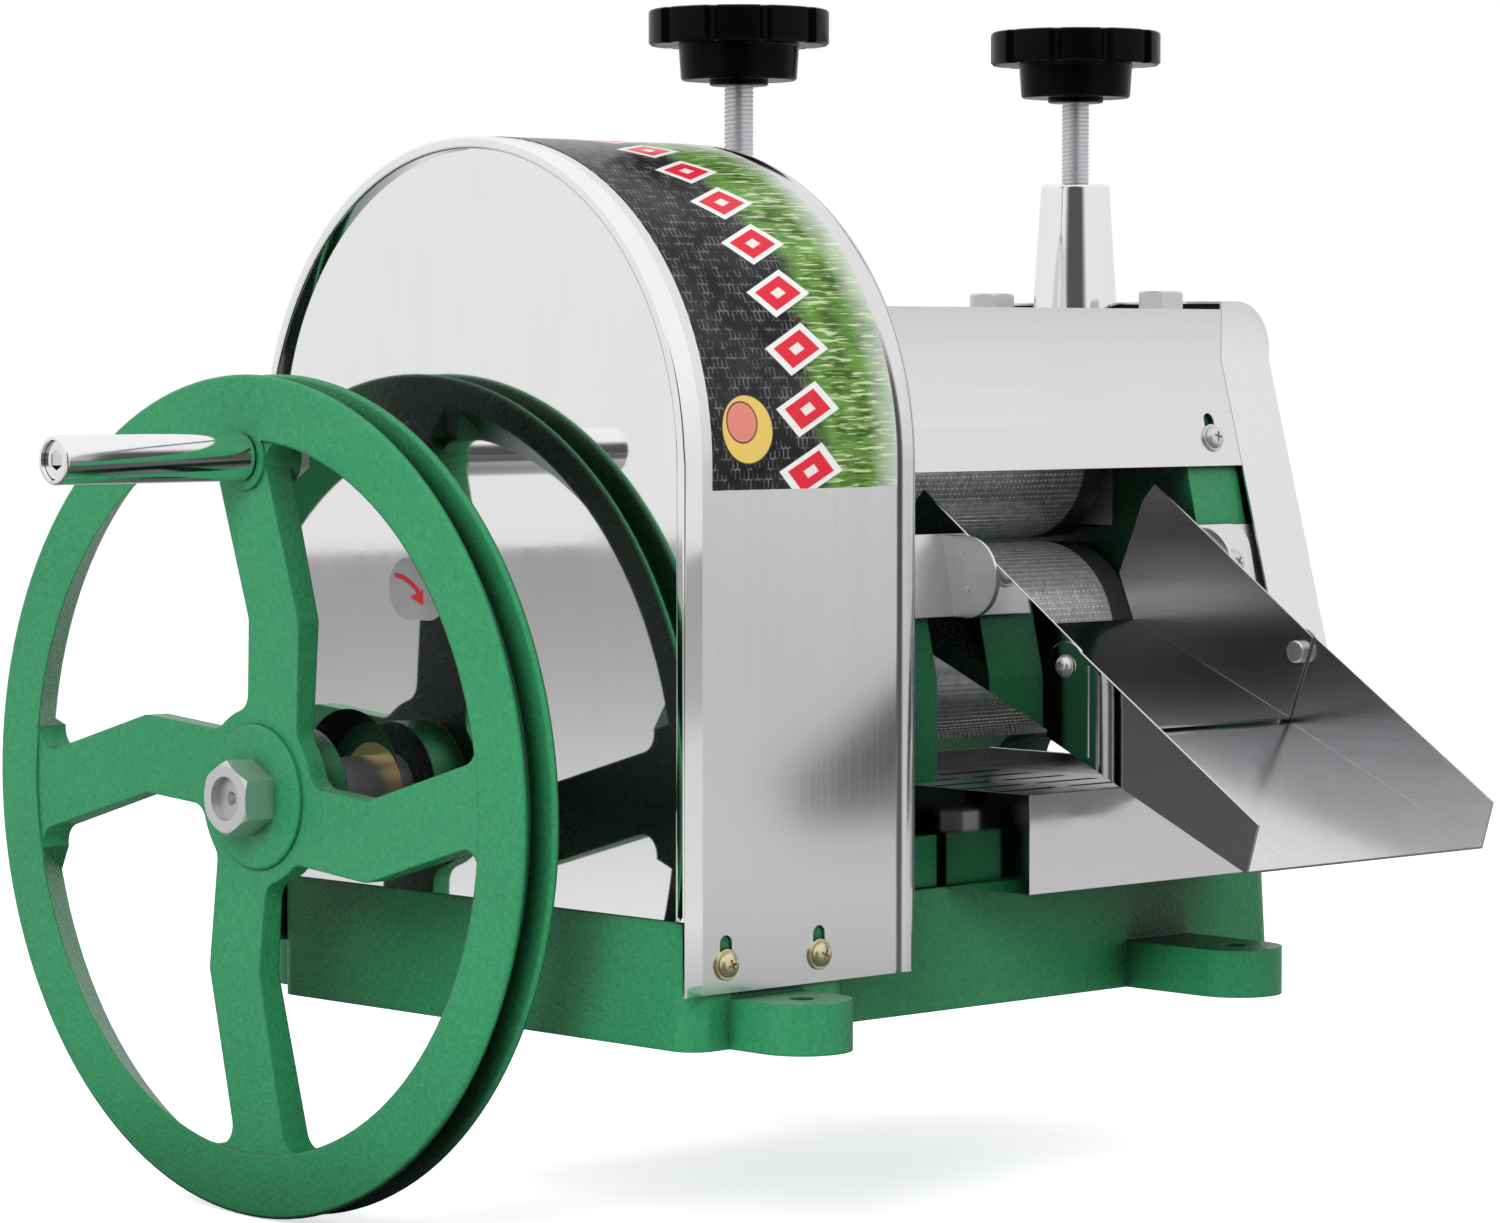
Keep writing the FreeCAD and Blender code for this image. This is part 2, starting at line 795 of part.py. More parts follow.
def spoke(turn):
    """One cranked spoke of the handwheel, drawn straight up and then turned about the shaft."""
    half = spoke_wide / 2
    middle = [(spoke_root_shift, hub_r / 2), (spoke_bend_shift, spoke_bend_r),
              (spoke_rim_shift, wheel_r - rim_deep + 6)]
    left = [(y - half, r) for y, r in middle]
    right = [(y + half, r) for y, r in middle]
    ring = [(y + shaft_y, r + shaft_z) for y, r in left + right[::-1]]
    body = sharp_prism_x(ring, wheel_face, wheel_face + spoke_back)
    body.rotate(Vector(0, shaft_y, shaft_z), Vector(1, 0, 0), turn)
    return body


def rim():
    """Rim with a vee-belt groove between two flanges."""
    half = wheel_wide / 2
    middle = wheel_face + half
    inner = wheel_r - rim_deep
    top = groove_wide / 2
    floor = groove_floor_wide / 2
    section = [(-half, inner), (half, inner), (half, wheel_r), (top, wheel_r),
               (floor, wheel_r - groove_deep), (-floor, wheel_r - groove_deep), (-top, wheel_r),
               (-half, wheel_r)]
    ring = [Vector(middle + x, shaft_y, shaft_z + r) for x, r in section]
    face = Part.Face(Part.makePolygon(ring + [ring[0]]))
    return face.revolve(Vector(0, shaft_y, shaft_z), Vector(1, 0, 0), 360)


def spoke_dish():
    """Turned body that gives the spokes their dished front, from the hub out into the rim."""
    inner = wheel_r - rim_deep
    section = [(spoke_hub_inset, 0), (spoke_hub_inset, hub_r), (spoke_rim_inset, inner),
               (spoke_rim_inset, inner + 1), (spoke_back, inner + 1), (spoke_back, 0)]
    ring = [Vector(wheel_face + x, shaft_y, shaft_z + r) for x, r in section]
    face = Part.Face(Part.makePolygon(ring + [ring[0]]))
    return face.revolve(Vector(0, shaft_y, shaft_z), Vector(1, 0, 0), 360)


def handle_centre():
    """Y and Z of the crank handle's axis."""
    return shaft_y + handle_side, shaft_z + wheel_r - handle_inset


def handwheel():
    """Cast handwheel: hub, four cranked spokes with filleted roots, grooved rim, handle boss."""
    x0 = wheel_face
    x1 = wheel_face + spoke_back
    inner = wheel_r - rim_deep
    web = rod_x(x0, x1, shaft_y, shaft_z, hub_r + hub_web)
    web = web.fuse([spoke(90 * i) for i in range(4)]).removeSplitter()
    ring = rod_x(x0, x1, shaft_y, shaft_z, inner + rim_deep / 3).cut(rod_x(x0, x1, shaft_y, shaft_z, inner))
    web = web.fuse(ring).removeSplitter()
    roots = [edge for edge in web.Edges if is_web_corner(edge)]
    web = web.makeFillet(web_fillet, roots)
    web = web.common(spoke_dish())
    y, z = handle_centre()
    boss = rod_x(wheel_face, handle_boss_back, y, z, handle_boss_r)
    hub = rod_x(hub_front, hub_back, shaft_y, shaft_z, hub_back_r)
    face = rod_x(hub_front, x1, shaft_y, shaft_z, hub_r)
    body = web.fuse([rim(), hub, face, boss]).removeSplitter()
    return body.cut([rod_x(hub_front, hub_back, shaft_y, shaft_z, wheel_seat_r + seat_fit),
                     rod_x(wheel_face, handle_boss_back, y, z, handle_bolt_r + seat_fit), wheel_key()])


def is_web_corner(edge):
    """True for an edge along X where a spoke meets the rim, the hub's web or its own bend."""
    if len(edge.Vertexes) != 2:
        return False
    a = edge.Vertexes[0].Point
    b = edge.Vertexes[1].Point
    along_x = math.hypot(a.y - b.y, a.z - b.z) < 1e-6
    reach = math.hypot(a.y - shaft_y, a.z - shaft_z)
    return along_x and reach < wheel_r - rim_deep + 1e-3


def wheel_nut():
    """Nut that holds the handwheel on the shaft, chamfered at its outer end."""
    nut = hexagon(nut_flats, nut_high, Vector(hub_front, shaft_y, shaft_z), Vector(-1, 0, 0))
    dome = Part.makeCone(nut_flats * 0.5, nut_flats * 0.72, nut_high / 4,
                         Vector(nut_face, shaft_y, shaft_z), Vector(1, 0, 0))
    rest = rod_x(nut_face + nut_high / 4, hub_front, shaft_y, shaft_z, nut_flats * 0.72)
    nut = nut.common(dome.fuse(rest))
    return nut.cut(rod_x(nut_face, hub_front, shaft_y, shaft_z, wheel_thread_r + seat_fit))


def handle_sleeve():
    """Polished sleeve that turns on the handle bolt, with a deep recess for the bolt's head."""
    y, z = handle_centre()
    x1 = wheel_face - handle_end_gap
    x0 = x1 - handle_long
    body = rod_x(x0, x1, y, z, handle_r)
    bore = rod_x(x0, x1, y, z, handle_bolt_r + running_fit)
    recess = rod_x(x0, x0 + handle_head_deep + slide_fit, y, z, handle_head_r + slide_fit)
    ends = [edge for edge in body.Edges if len(edge.Vertexes) == 1]
    return body.makeFillet(1.2, ends).cut([bore, recess])


def handle_bolt():
    """Socket-head bolt that carries the sleeve, screwed into the wheel."""
    y, z = handle_centre()
    x0 = wheel_face - handle_end_gap - handle_long
    x1 = handle_boss_back + bolt_m12[2] + 2
    head = rod_x(x0 + 2, x0 + handle_head_deep, y, z, handle_head_r)
    socket = hexagon(handle_socket, 6.0, Vector(x0 + 2, y, z), Vector(1, 0, 0))
    shank = rod_x(x0 + handle_head_deep, x1, y, z, handle_bolt_r)
    return head.fuse(shank).removeSplitter().cut(socket)


def handle_nut():
    """Lock nut behind the handle boss."""
    y, z = handle_centre()
    x0 = handle_boss_back
    nut = hexagon(bolt_m12[1], bolt_m12[2], Vector(x0, y, z), Vector(1, 0, 0))
    return nut.cut(rod_x(x0, x0 + bolt_m12[2], y, z, handle_bolt_r + seat_fit))


# ---- gears and rollers -------------------------------------------------------------------------

drive_angle = math.atan2(top_z - shaft_z, top_y - shaft_y)
pinion_phase = drive_angle
# The large gear stands against one flank, which leaves the backlash free for the top roller's lift.
bull_shift = (drive_backlash / 2 - drive_side_gap) / bull_pitch_r
bull_phase = meshing_phase(pinion_phase, pinion_teeth, drive_angle, bull_teeth) - bull_shift
roller_angle = math.atan2(low_z - top_z, low_y - top_y)
top_gear_phase = roller_angle
low_gear_phase = meshing_phase(top_gear_phase, top_gear_teeth, roller_angle, low_gear_teeth)


def drive_pinion():
    """Small gear on the drive shaft."""
    body = gear_blank(pinion_teeth, pinion_phase, (shaft_y, shaft_z), bull_left, bull_right, drive_backlash)
    return body.cut([rod_x(bull_left, bull_right, shaft_y, shaft_z, shaft_r + seat_fit), pinion_key()])


def large_gear():
    """Large gear on the top roller's shaft, with a thin web and six round windows."""
    body = gear_blank(bull_teeth, bull_phase, (top_y, top_z), bull_left, bull_right, drive_backlash)
    hub_outer = top_journal_r + bull_hub
    ring_inner = bull_pitch_r - bull_rim
    for x0, x1 in ((bull_left, bull_left + bull_recess), (bull_right - bull_recess, bull_right)):
        ring = rod_x(x0, x1, top_y, top_z, ring_inner).cut(rod_x(x0, x1, top_y, top_z, hub_outer))
        body = body.cut(ring)
    window_ring = (hub_outer + ring_inner) / 2
    for i in range(6):
        a = math.radians(60 * i)
        y = top_y + window_ring * math.cos(a)
        z = top_z + window_ring * math.sin(a)
        body = body.cut(rod_x(bull_left, bull_right, y, z, bull_window_r))
    bore = rod_x(bull_left, bull_right, top_y, top_z, top_journal_r + seat_fit)
    return body.cut([bore, large_gear_key()])


def large_gear_key():
    """Key of the large gear."""
    return top_key(bull_left + key_end, bull_right - key_end, top_y, top_z, top_journal_r)


def top_gear_key():
    """Key of the top roller's right-hand gear."""
    return top_key(roller_gear_left + key_end, roller_gear_right - key_end, top_y, top_z, top_journal_r)


def low_gear_key():
    """Key of the lower roller's gear."""
    return top_key(roller_gear_left + key_end, roller_gear_right - key_end, low_y, low_z, low_journal_r)


def roller_gear(teeth, phase, y, z, journal_r, key):
    """Gear on a roller's right-hand end, with a hub that spaces it from the side frame."""
    body = gear_blank(teeth, phase, (y, z), roller_gear_left, roller_gear_right, backlash)
    hub = rod_x(right_out + roller_gear_clear, roller_gear_left, y, z, journal_r + roller_gear_hub)
    body = body.fuse(hub).removeSplitter()
    return body.cut([rod_x(right_out, roller_gear_right, y, z, journal_r + seat_fit), key])


def fluted_roller(y, z, outer_r, journal_r, x_left, keys):
    """Roller with lengthwise flutes, smooth ends a little smaller, and a journal at each side."""
    half = roller_flute_long / 2
    count = int(round(2 * math.pi * outer_r / flute_pitch))
    points = []
    for i in range(2 * count):
        a = math.pi * i / count
        r = outer_r if i % 2 == 0 else outer_r - flute_deep
        points.append((y + r * math.cos(a), z + r * math.sin(a)))
    barrel = sharp_prism_x(points, frame_mid_x - half, frame_mid_x + half)
    end_r = outer_r - flute_deep - roller_end_drop
    ends = rod_x(left_in + roller_side_clear, right_in - roller_side_clear, y, z, end_r)
    journal = rod_x(x_left, roller_gear_right + shaft_past, y, z, journal_r)
    return barrel.fuse([ends, journal]).removeSplitter().cut(keys)


def top_roller():
    """Upper roller; its left end carries the large gear, its right end a small one."""
    keys = [large_gear_key(), top_gear_key()]
    return fluted_roller(top_y, top_z, top_roller_r, top_journal_r, bull_left - shaft_past, keys)


def lower_roller():
    """Lower roller."""
    return fluted_roller(low_y, low_z, low_roller_r, low_journal_r, left_out, [low_gear_key()])


def bearing_block(x0, x1):
    """Block that slides in a side frame's slot and carries the top roller."""
    half = block_wide / 2 - slide_fit
    body = box(x0, x1, -half, half, block_bottom, block_top)
    return body.cut(rod_x(x0, x1, top_y, top_z, top_journal_r + bush_wall + seat_fit))


# ---- pressure screws and knobs -----------------------------------------------------------------


def pressure_screw(x):
    """Threaded rod from the bearing block up into the star knob."""
    return rod_z(x, top_y, block_top + running_fit, knob_neck_top + screw_in_knob, screw_r)


def star_knob(x):
    """Knob with narrow grooves between broad lobes, over a neck and a thin foot disc."""
    foot = rod_z(x, top_y, knob_foot - knob_foot_high, knob_foot, knob_foot_r)
    neck = Part.makeCone(knob_neck_r, knob_neck_r + knob_neck_taper, knob_neck_high,
                         Vector(x, top_y, knob_foot))
    star = rod_z(x, top_y, knob_neck_top, knob_top, knob_r)
    grooves = []
    for i in range(knob_lobes):
        a = math.radians(knob_turn + 360.0 * i / knob_lobes)
        gx = x + knob_r * math.cos(a)
        gy = top_y + knob_r * math.sin(a)
        grooves.append(rod_z(gx, gy, knob_neck_top, knob_top, knob_groove_r))
    body = star.cut(grooves).fuse([neck, foot]).removeSplitter()
    bore = rod_z(x, top_y, knob_foot - knob_foot_high, knob_neck_top + screw_in_knob, screw_r + seat_fit)
    return body.cut(bore)


# ---- gear case ---------------------------------------------------------------------------------


def case_profile(inset, bottom, x0, x1):
    """Solid with the gear case's outline: straight legs under a half-round top."""
    r = case_r - inset
    legs = box(x0, x1, -r, r, bottom, top_z)
    crown = rod_x(x0, x1, top_y, top_z, r).common(box(x0, x1, -r, r, top_z, top_z + r))
    return legs.fuse(crown).removeSplitter()


def case_below(x0, x1):
    """Space that the base fills between the legs of the gear case's panels."""
    half = case_r - sheet
    return box(x0, x1, -half, half, case_bottom - 1, base_high + sheet_gap)


def keyhole_y(x, z, y0, y1):
    """Slot through a sheet for a screw that lies along Y, open upward of the screw."""
    r = screw_m6[0] + hole_clear
    slot = box(x - r, x + r, y0, y1, z, z + keyhole_rise)
    return rod_y(x, y0, y1, z, r).fuse([slot, rod_y(x, y0, y1, z + keyhole_rise, r)])


def gear_case_wrap():
    """Sheet bent over the gears from the front of the base to its back."""
    x0 = case_left + bead_deep
    x1 = case_right - back_rim_wide - bead_gap
    body = case_profile(0, case_bottom, x0, x1).cut(case_profile(sheet, case_bottom - 1, x0, x1))
    for x in case_screw_places():
        for y in (-case_r, case_r):
            body = body.cut(keyhole_y(x, case_screw_z, y - 5, y + 5))
    return body


def gear_case_side_panel():
    """Flat polished panel beside the handwheel, with a raised bead round its edge."""
    front = case_left - bead_wide
    back = case_left + bead_deep
    shell = case_profile(0, case_bottom, front, back)
    shell = shell.cut(case_profile(bead_wide, case_bottom - 1, front, case_left - sheet))
    shell = shell.cut(case_profile(sheet, case_bottom - 1, case_left, back))
    shell = shell.cut(case_below(front, back))
    return shell.cut(rod_x(front, back, shaft_y, shaft_z, case_hole_r))


def gear_case_back_panel():
    """Inner wall of the gear case, with a rim that the wrap's edge meets."""
    x0 = case_right - back_rim_wide
    x1 = case_right
    shell = case_profile(0, case_bottom, x0, x1)
    shell = shell.cut(case_profile(sheet, case_bottom - 1, x0, x1 - sheet))
    shell = shell.cut(case_below(x0, x1))
    lift = rod_x(x0, x1, top_y, top_z + lift_range / 2, top_journal_r + lift_range + slide_fit)
    return shell.cut([lift, rod_x(x0, x1, shaft_y, shaft_z, shaft_r + 1.0)])


def case_spacers():
    """Round spacers between the gear case's inner wall and the left side frame."""
    high = slot_floor - spacer_r - 1.0
    low_spacer = (arch_shift - arch_deep / 2 - 3 * spacer_r, arch_top_z)
    places = [(-tie_y, high), (tie_y, high), low_spacer]
    return group([rod_x(case_right, left_out, y, z, spacer_r) for y, z in places])


def case_screws():
    """Screws with washers that hold the gear case to the base, front and back."""
    screws = []
    for x in case_screw_places():
        for sy in (-1, 1):
            seat = Vector(x, sy * case_r, case_screw_z)
            screws.append(pan_screw(screw_long, seat, Vector(0, sy, 0)))
    return group(screws)


def case_label():
    """Plain printed film on the wrap, from the front over the crown."""
    x0 = case_left + label_inset
    x1 = case_right - back_rim_wide - bead_gap
    r = case_r + label_thick
    crown = rod_x(x0, x1, top_y, top_z, r).cut(rod_x(x0, x1, top_y, top_z, case_r))
    crown = crown.common(box(x0, x1, -r, r, top_z, top_z + r))
    leg = box(x0, x1, -r, -case_r, top_z - label_low, top_z)
    return crown.fuse(leg).removeSplitter()


def turning_sticker():
    """Oval film that shows which way the handwheel turns."""
    x1 = case_left - sheet
    y = shaft_y - sticker_side
    z = shaft_z + sticker_rise
    half_y = sticker_wide / 2
    half_z = sticker_high / 2
    corners = rectangle(y - half_y, y + half_y, z - half_z, z + half_z)
    return prism_x(corners, [sticker_high * 0.49] * 4, x1 - label_thick, x1)


# ---- hood and right-hand cover -----------------------------------------------------------------


def hood():
    """Bent sheet over the rollers: front plate, top and a shorter back plate."""
    x0 = left_out
    x1 = right_out
    back_y = hood_half + (hood_kink_z - hood_back_z) * hood_slope
    path = [(hood_front_y(hood_bottom_z), hood_bottom_z), (-hood_half, hood_kink_z), (-hood_half, hood_z),
            (hood_half, hood_z), (hood_half, hood_kink_z), (back_y, hood_back_z)]
    body = strip_x(path, -sheet, x0, x1)
    for x in (left_mid, right_mid):
        body = body.cut(rod_z(x, top_y, cap_top, hood_z, post_spigot_r + hole_clear))
        for sy in (-1, 1):
            body = body.cut(rod_z(x, sy * cap_bolt_y, cap_top, hood_z, bolt_m14[0] + hole_clear))
        body = body.cut(hood_keyhole(x))
    return body


def hood_tilt():
    """Direction square to the hood's sloping front plate."""
    size = math.hypot(1.0, hood_slope)
    return Vector(0, -1 / size, hood_slope / size)


def hood_keyhole(x):
    """Slot through the hood's front plate above a hood screw."""
    r = screw_m6[0] + hole_clear
    deep = 6.0
    out = hood_tilt()
    up = Vector(0, out.z, -out.y)
    start = Vector(x, hood_front_y(hood_screw_z), hood_screw_z) - out * deep / 2
    low = Part.makeCylinder(r, deep, start, out)
    high = Part.makeCylinder(r, deep, start + up * keyhole_rise, out)
    corners = [start - Vector(r, 0, 0), start + Vector(r, 0, 0)]
    corners += [corners[1] + up * keyhole_rise, corners[0] + up * keyhole_rise]
    slot = Part.Face(Part.makePolygon(corners + [corners[0]])).extrude(out * deep)
    return low.fuse([high, slot])


def hood_screw_hole(x):
    """Hole in a side frame for a hood screw, square to the hood's front plate."""
    seat = Vector(x, hood_front_y(hood_screw_z), hood_screw_z)
    out = hood_tilt()
    return Part.makeCylinder(screw_m6[0] + seat_fit, screw_long + 1, seat - out * screw_long, out)


def hood_screws():
    """Screws with washers through the hood into the side frames' front faces."""
    screws = []
    for x in (left_mid, right_mid):
        seat = Vector(x, hood_front_y(hood_screw_z), hood_screw_z)
        screws.append(pan_screw(screw_long, seat, hood_tilt()))
    return group(screws)


def cover_section(inset, drop, x0, x1):
    """Solid with the right-hand cover's outline, seen along X."""
    half = hood_half - inset
    low = -hood_front_y(cover_bottom_z) - inset
    top = hood_z + cover_rise - inset
    ring = [(-low, cover_bottom_z - drop), (low, cover_bottom_z - drop), (low, cover_bottom_z),
            (half, hood_kink_z), (half, top), (-half, top), (-half, hood_kink_z), (-low, cover_bottom_z)]
    if drop == 0:
        del ring[0]
        del ring[0]
    return sharp_prism_x(ring, x0, x1)


def right_cover():
    """Sheet shell over the roller gears, open towards the side frame and below."""
    x0 = right_out + sheet_gap
    x1 = cover_right
    shell = round_top(cover_section(0, 0, x0, x1), x1, cover_corner_r)
    core = round_top(cover_section(sheet, 2 * sheet, x0, x1 - sheet), x1 - sheet, cover_corner_r - sheet)
    shell = shell.cut(core)
    for y, z in cover_screw_places():
        shell = shell.cut(rod_x(x1 - 2 * sheet, x1, y, z, screw_m6[0] + hole_clear))
    notch = rod_z(right_mid, top_y, hood_z, hood_z + cover_rise + 1, post_low_r + hole_clear)
    return shell.cut(notch)


def round_top(solid, x1, radius):
    """Rounds the outer edge along the top of a cover-shaped solid."""
    top = solid.BoundBox.ZMax
    edges = []
    for edge in solid.Edges:
        a = edge.Vertexes[0].Point
        b = edge.Vertexes[-1].Point
        if min(a.x, b.x) > x1 - 1e-6 and min(a.z, b.z) > top - 1e-6:
            edges.append(edge)
    return solid.makeFillet(radius, edges)


def cover_screw_places():
    """Y and Z of the right-hand cover's screws."""
    high = shoulder_z - 20.0
    low = cover_bottom_z + 3 * standoff_r
    return [(-cap_bolt_y, high), (cap_bolt_y, high), (shaft_y - standoff_r, low)]


def cover_standoffs():
    """Posts on the side frame that carry the right-hand cover."""
    x1 = cover_right - sheet
    posts = []
    for y, z in cover_screw_places():
        post = rod_x(right_out, x1, y, z, standoff_r)
        posts.append(post.cut(rod_x(x1 - screw_long, x1, y, z, screw_m6[0] + seat_fit)))
    return group(posts)


def cover_screws():
    """Screws with washers that hold the right-hand cover."""
    screws = []
    for y, z in cover_screw_places():
        screws.append(pan_screw(screw_long, Vector(cover_right, y, z), Vector(1, 0, 0)))
    return group(screws)


# ---- chutes, brackets and tray -----------------------------------------------------------------


def along(a, b, distance):
    """Point past b on the line from a, by distance."""
    ux, uy = unit(b[0] - a[0], b[1] - a[1])
    return b[0] + ux * distance, b[1] + uy * distance


def chute_inner():
    """Fixed half of the feed chute: a floor and two side walls."""
    back = from_fold(chute_floor_back)
    fold = from_fold((0, 0))
    wall = [back] + [from_fold(p) for p in chute_wall_back] + [from_fold(chute_kink), fold]
    floor = strip_x([back, fold], sheet, chute_left, chute_right)
    sides = [sharp_prism_x(wall, x, x + sheet) for x in (chute_left, chute_right - sheet)]
    body = floor.fuse(sides).removeSplitter()
    y, z = from_fold(chute_pivot)
    return body.cut(rod_x(chute_left, chute_right, y, z, rivet_r + seat_fit))


def chute_outer():
    """Folding half of the feed chute: it laps under the fixed floor and outside the fixed walls."""
    fold = from_fold((0, 0))
    tip_floor = from_fold(chute_floor_front)
    back = along(tip_floor, fold, chute_lap)
    low_back, low_front = offset_path([back, tip_floor], sheet + chute_floor_gap)
    y, z = from_fold(chute_pivot)
    wall = [low_back, (y + ear_r, z), from_fold(chute_kink), from_fold(chute_tip), low_front]
    x0 = chute_left - chute_side_gap - sheet
    x1 = chute_right + chute_side_gap + sheet
    pieces = [strip_x([low_back, low_front], sheet, x0, x1)]
    for x in (x0, x1 - sheet):
        pieces.append(sharp_prism_x(wall, x, x + sheet))
        pieces.append(rod_x(x, x + sheet, y, z, ear_r))
    body = pieces[0].fuse(pieces[1:]).removeSplitter()
    return body.cut(rod_x(x0, x1, y, z, rivet_r + running_fit))


def chute_rivets():
    """Shouldered rivets on which the outer chute folds."""
    y, z = from_fold(chute_pivot)
    rivets = []
    for x, way in ((chute_left, -1), (chute_right, 1)):
        inner = x - way * sheet
        outer = x + way * (sheet + 2 * chute_side_gap)
        head = way * rivet_head_high
        shank = rod_x(min(inner, outer), max(inner, outer), y, z, rivet_r)
        inner_head = rod_x(min(inner, inner - head), max(inner, inner - head), y, z, rivet_head_r)
        outer_head = rod_x(min(outer, outer + head), max(outer, outer + head), y, z, rivet_head_r)
        rivets.append(shank.fuse([inner_head, outer_head]).removeSplitter())
    return group(rivets)


def bracket_run():
    """Flat line up a side frame's front face, over a bracket's height."""
    zs = (bracket_z - tab_r, bracket_z + tab_r)
    return [(frame_front_y(z), z) for z in zs]


def front_plate(x0, x1, lift, thick, corner_x):
    """Plate on the frames' front faces between x0 and x1, with rounded corners at corner_x."""
    run = offset_path(bracket_run(), lift)
    body = strip_x(run, thick, x0, x1)
    out = front_tilt()
    edges = []
    for edge in body.Edges:
        a = edge.Vertexes[0].Point
        b = edge.Vertexes[-1].Point
        along_out = abs(a.x - b.x) < 1e-6 and abs((b - a).dot(out)) > thick - 1e-6
        if along_out and abs(a.x - corner_x) < 1e-6:
            edges.append(edge)
    return body.makeFillet(bracket_corner_r, edges)


def chute_bracket(side):
    """Bent bracket: a round-ended tab on the chute's wall, and a leg on the frame's front face."""
    wall_x = chute_left if side < 0 else chute_right
    tab_x = sorted([wall_x, wall_x + side * bracket_thick])
    run = bracket_run()
    lift = backing_thick
    leg_run = offset_path(run, lift)
    tab_y = min(p[0] for p in leg_run) - tab_reach
    tab = sharp_prism_x([(tab_y, run[0][1]), leg_run[0], leg_run[1], (tab_y, run[1][1])], *tab_x)
    tab = tab.fuse(rod_x(tab_x[0], tab_x[1], tab_y, bracket_z, tab_r))
    reach = left_out + bracket_inset if side < 0 else right_out - bracket_inset
    leg = front_plate(min(reach, wall_x), max(reach, wall_x), lift, bracket_thick, reach)
    body = tab.fuse(leg).removeSplitter()
    middle = left_mid if side < 0 else right_mid
    return body.cut(front_screw_hole(middle, bracket_z, hole_clear))


def bracket_backing(side):
    """Spacer plate between a bracket's leg and the side frame."""
    if side < 0:
        x0, x1, middle = left_out + bracket_inset, left_in, left_mid
    else:
        x0, x1, middle = right_in, right_out + backing_past, right_mid
    body = strip_x(bracket_run(), backing_thick, x0, x1)
    return body.cut(front_screw_hole(middle, bracket_z, hole_clear))


def bracket_screws():
    """Screws through the chute's brackets."""
    out = front_tilt()
    screws = []
    for x in (left_mid, right_mid):
        seat = Vector(x, frame_front_y(bracket_z), bracket_z) + out * (bracket_thick + backing_thick)
        screws.append(pan_screw(screw_long, seat, out))
    return group(screws)


def juice_tray():
    """Open tray that slides on the base between the side frames."""
    body = box(tray_left, tray_right, tray_front, tray_front + tray_long, tray_floor, tray_top)
    inside = box(tray_left + sheet, tray_right - sheet, tray_front + sheet, tray_front + tray_long - sheet,
                 tray_floor + sheet, tray_top + 1)
    return body.cut(inside)


def tray_strainer():
    """Slotted plate with folded legs that stands in the tray."""
    x0 = tray_left + sheet + strainer_gap
    x1 = tray_right - sheet - strainer_gap
    y0 = tray_front + sheet + strainer_gap
    y1 = tray_front + tray_long - sheet - strainer_gap
    top = tray_top - strainer_drop
    foot = tray_floor + sheet
    body = box(x0, x1, y0, y1, foot, top)
    body = body.cut(box(x0 + sheet, x1 - sheet, y0, y1, foot, top - sheet))
    step_x = (x1 - x0 - 2 * slot_border) / slot_rows
    step_y = (y1 - y0 - 2 * slot_border) / slot_columns
    slots = []
    for i in range(slot_rows):
        for j in range(slot_columns):
            sx = x0 + slot_border + step_x * (i + 0.5)
            sy = y0 + slot_border + step_y * (j + 0.5)
            half_x = step_x / 2 - slot_wide
            half_y = slot_wide / 2
            slots.append(box(sx - half_x, sx + half_x, sy - half_y, sy + half_y, top - 2 * sheet, top + 1))
    return body.cut(slots)


# ---- writing the nodes -------------------------------------------------------------------------


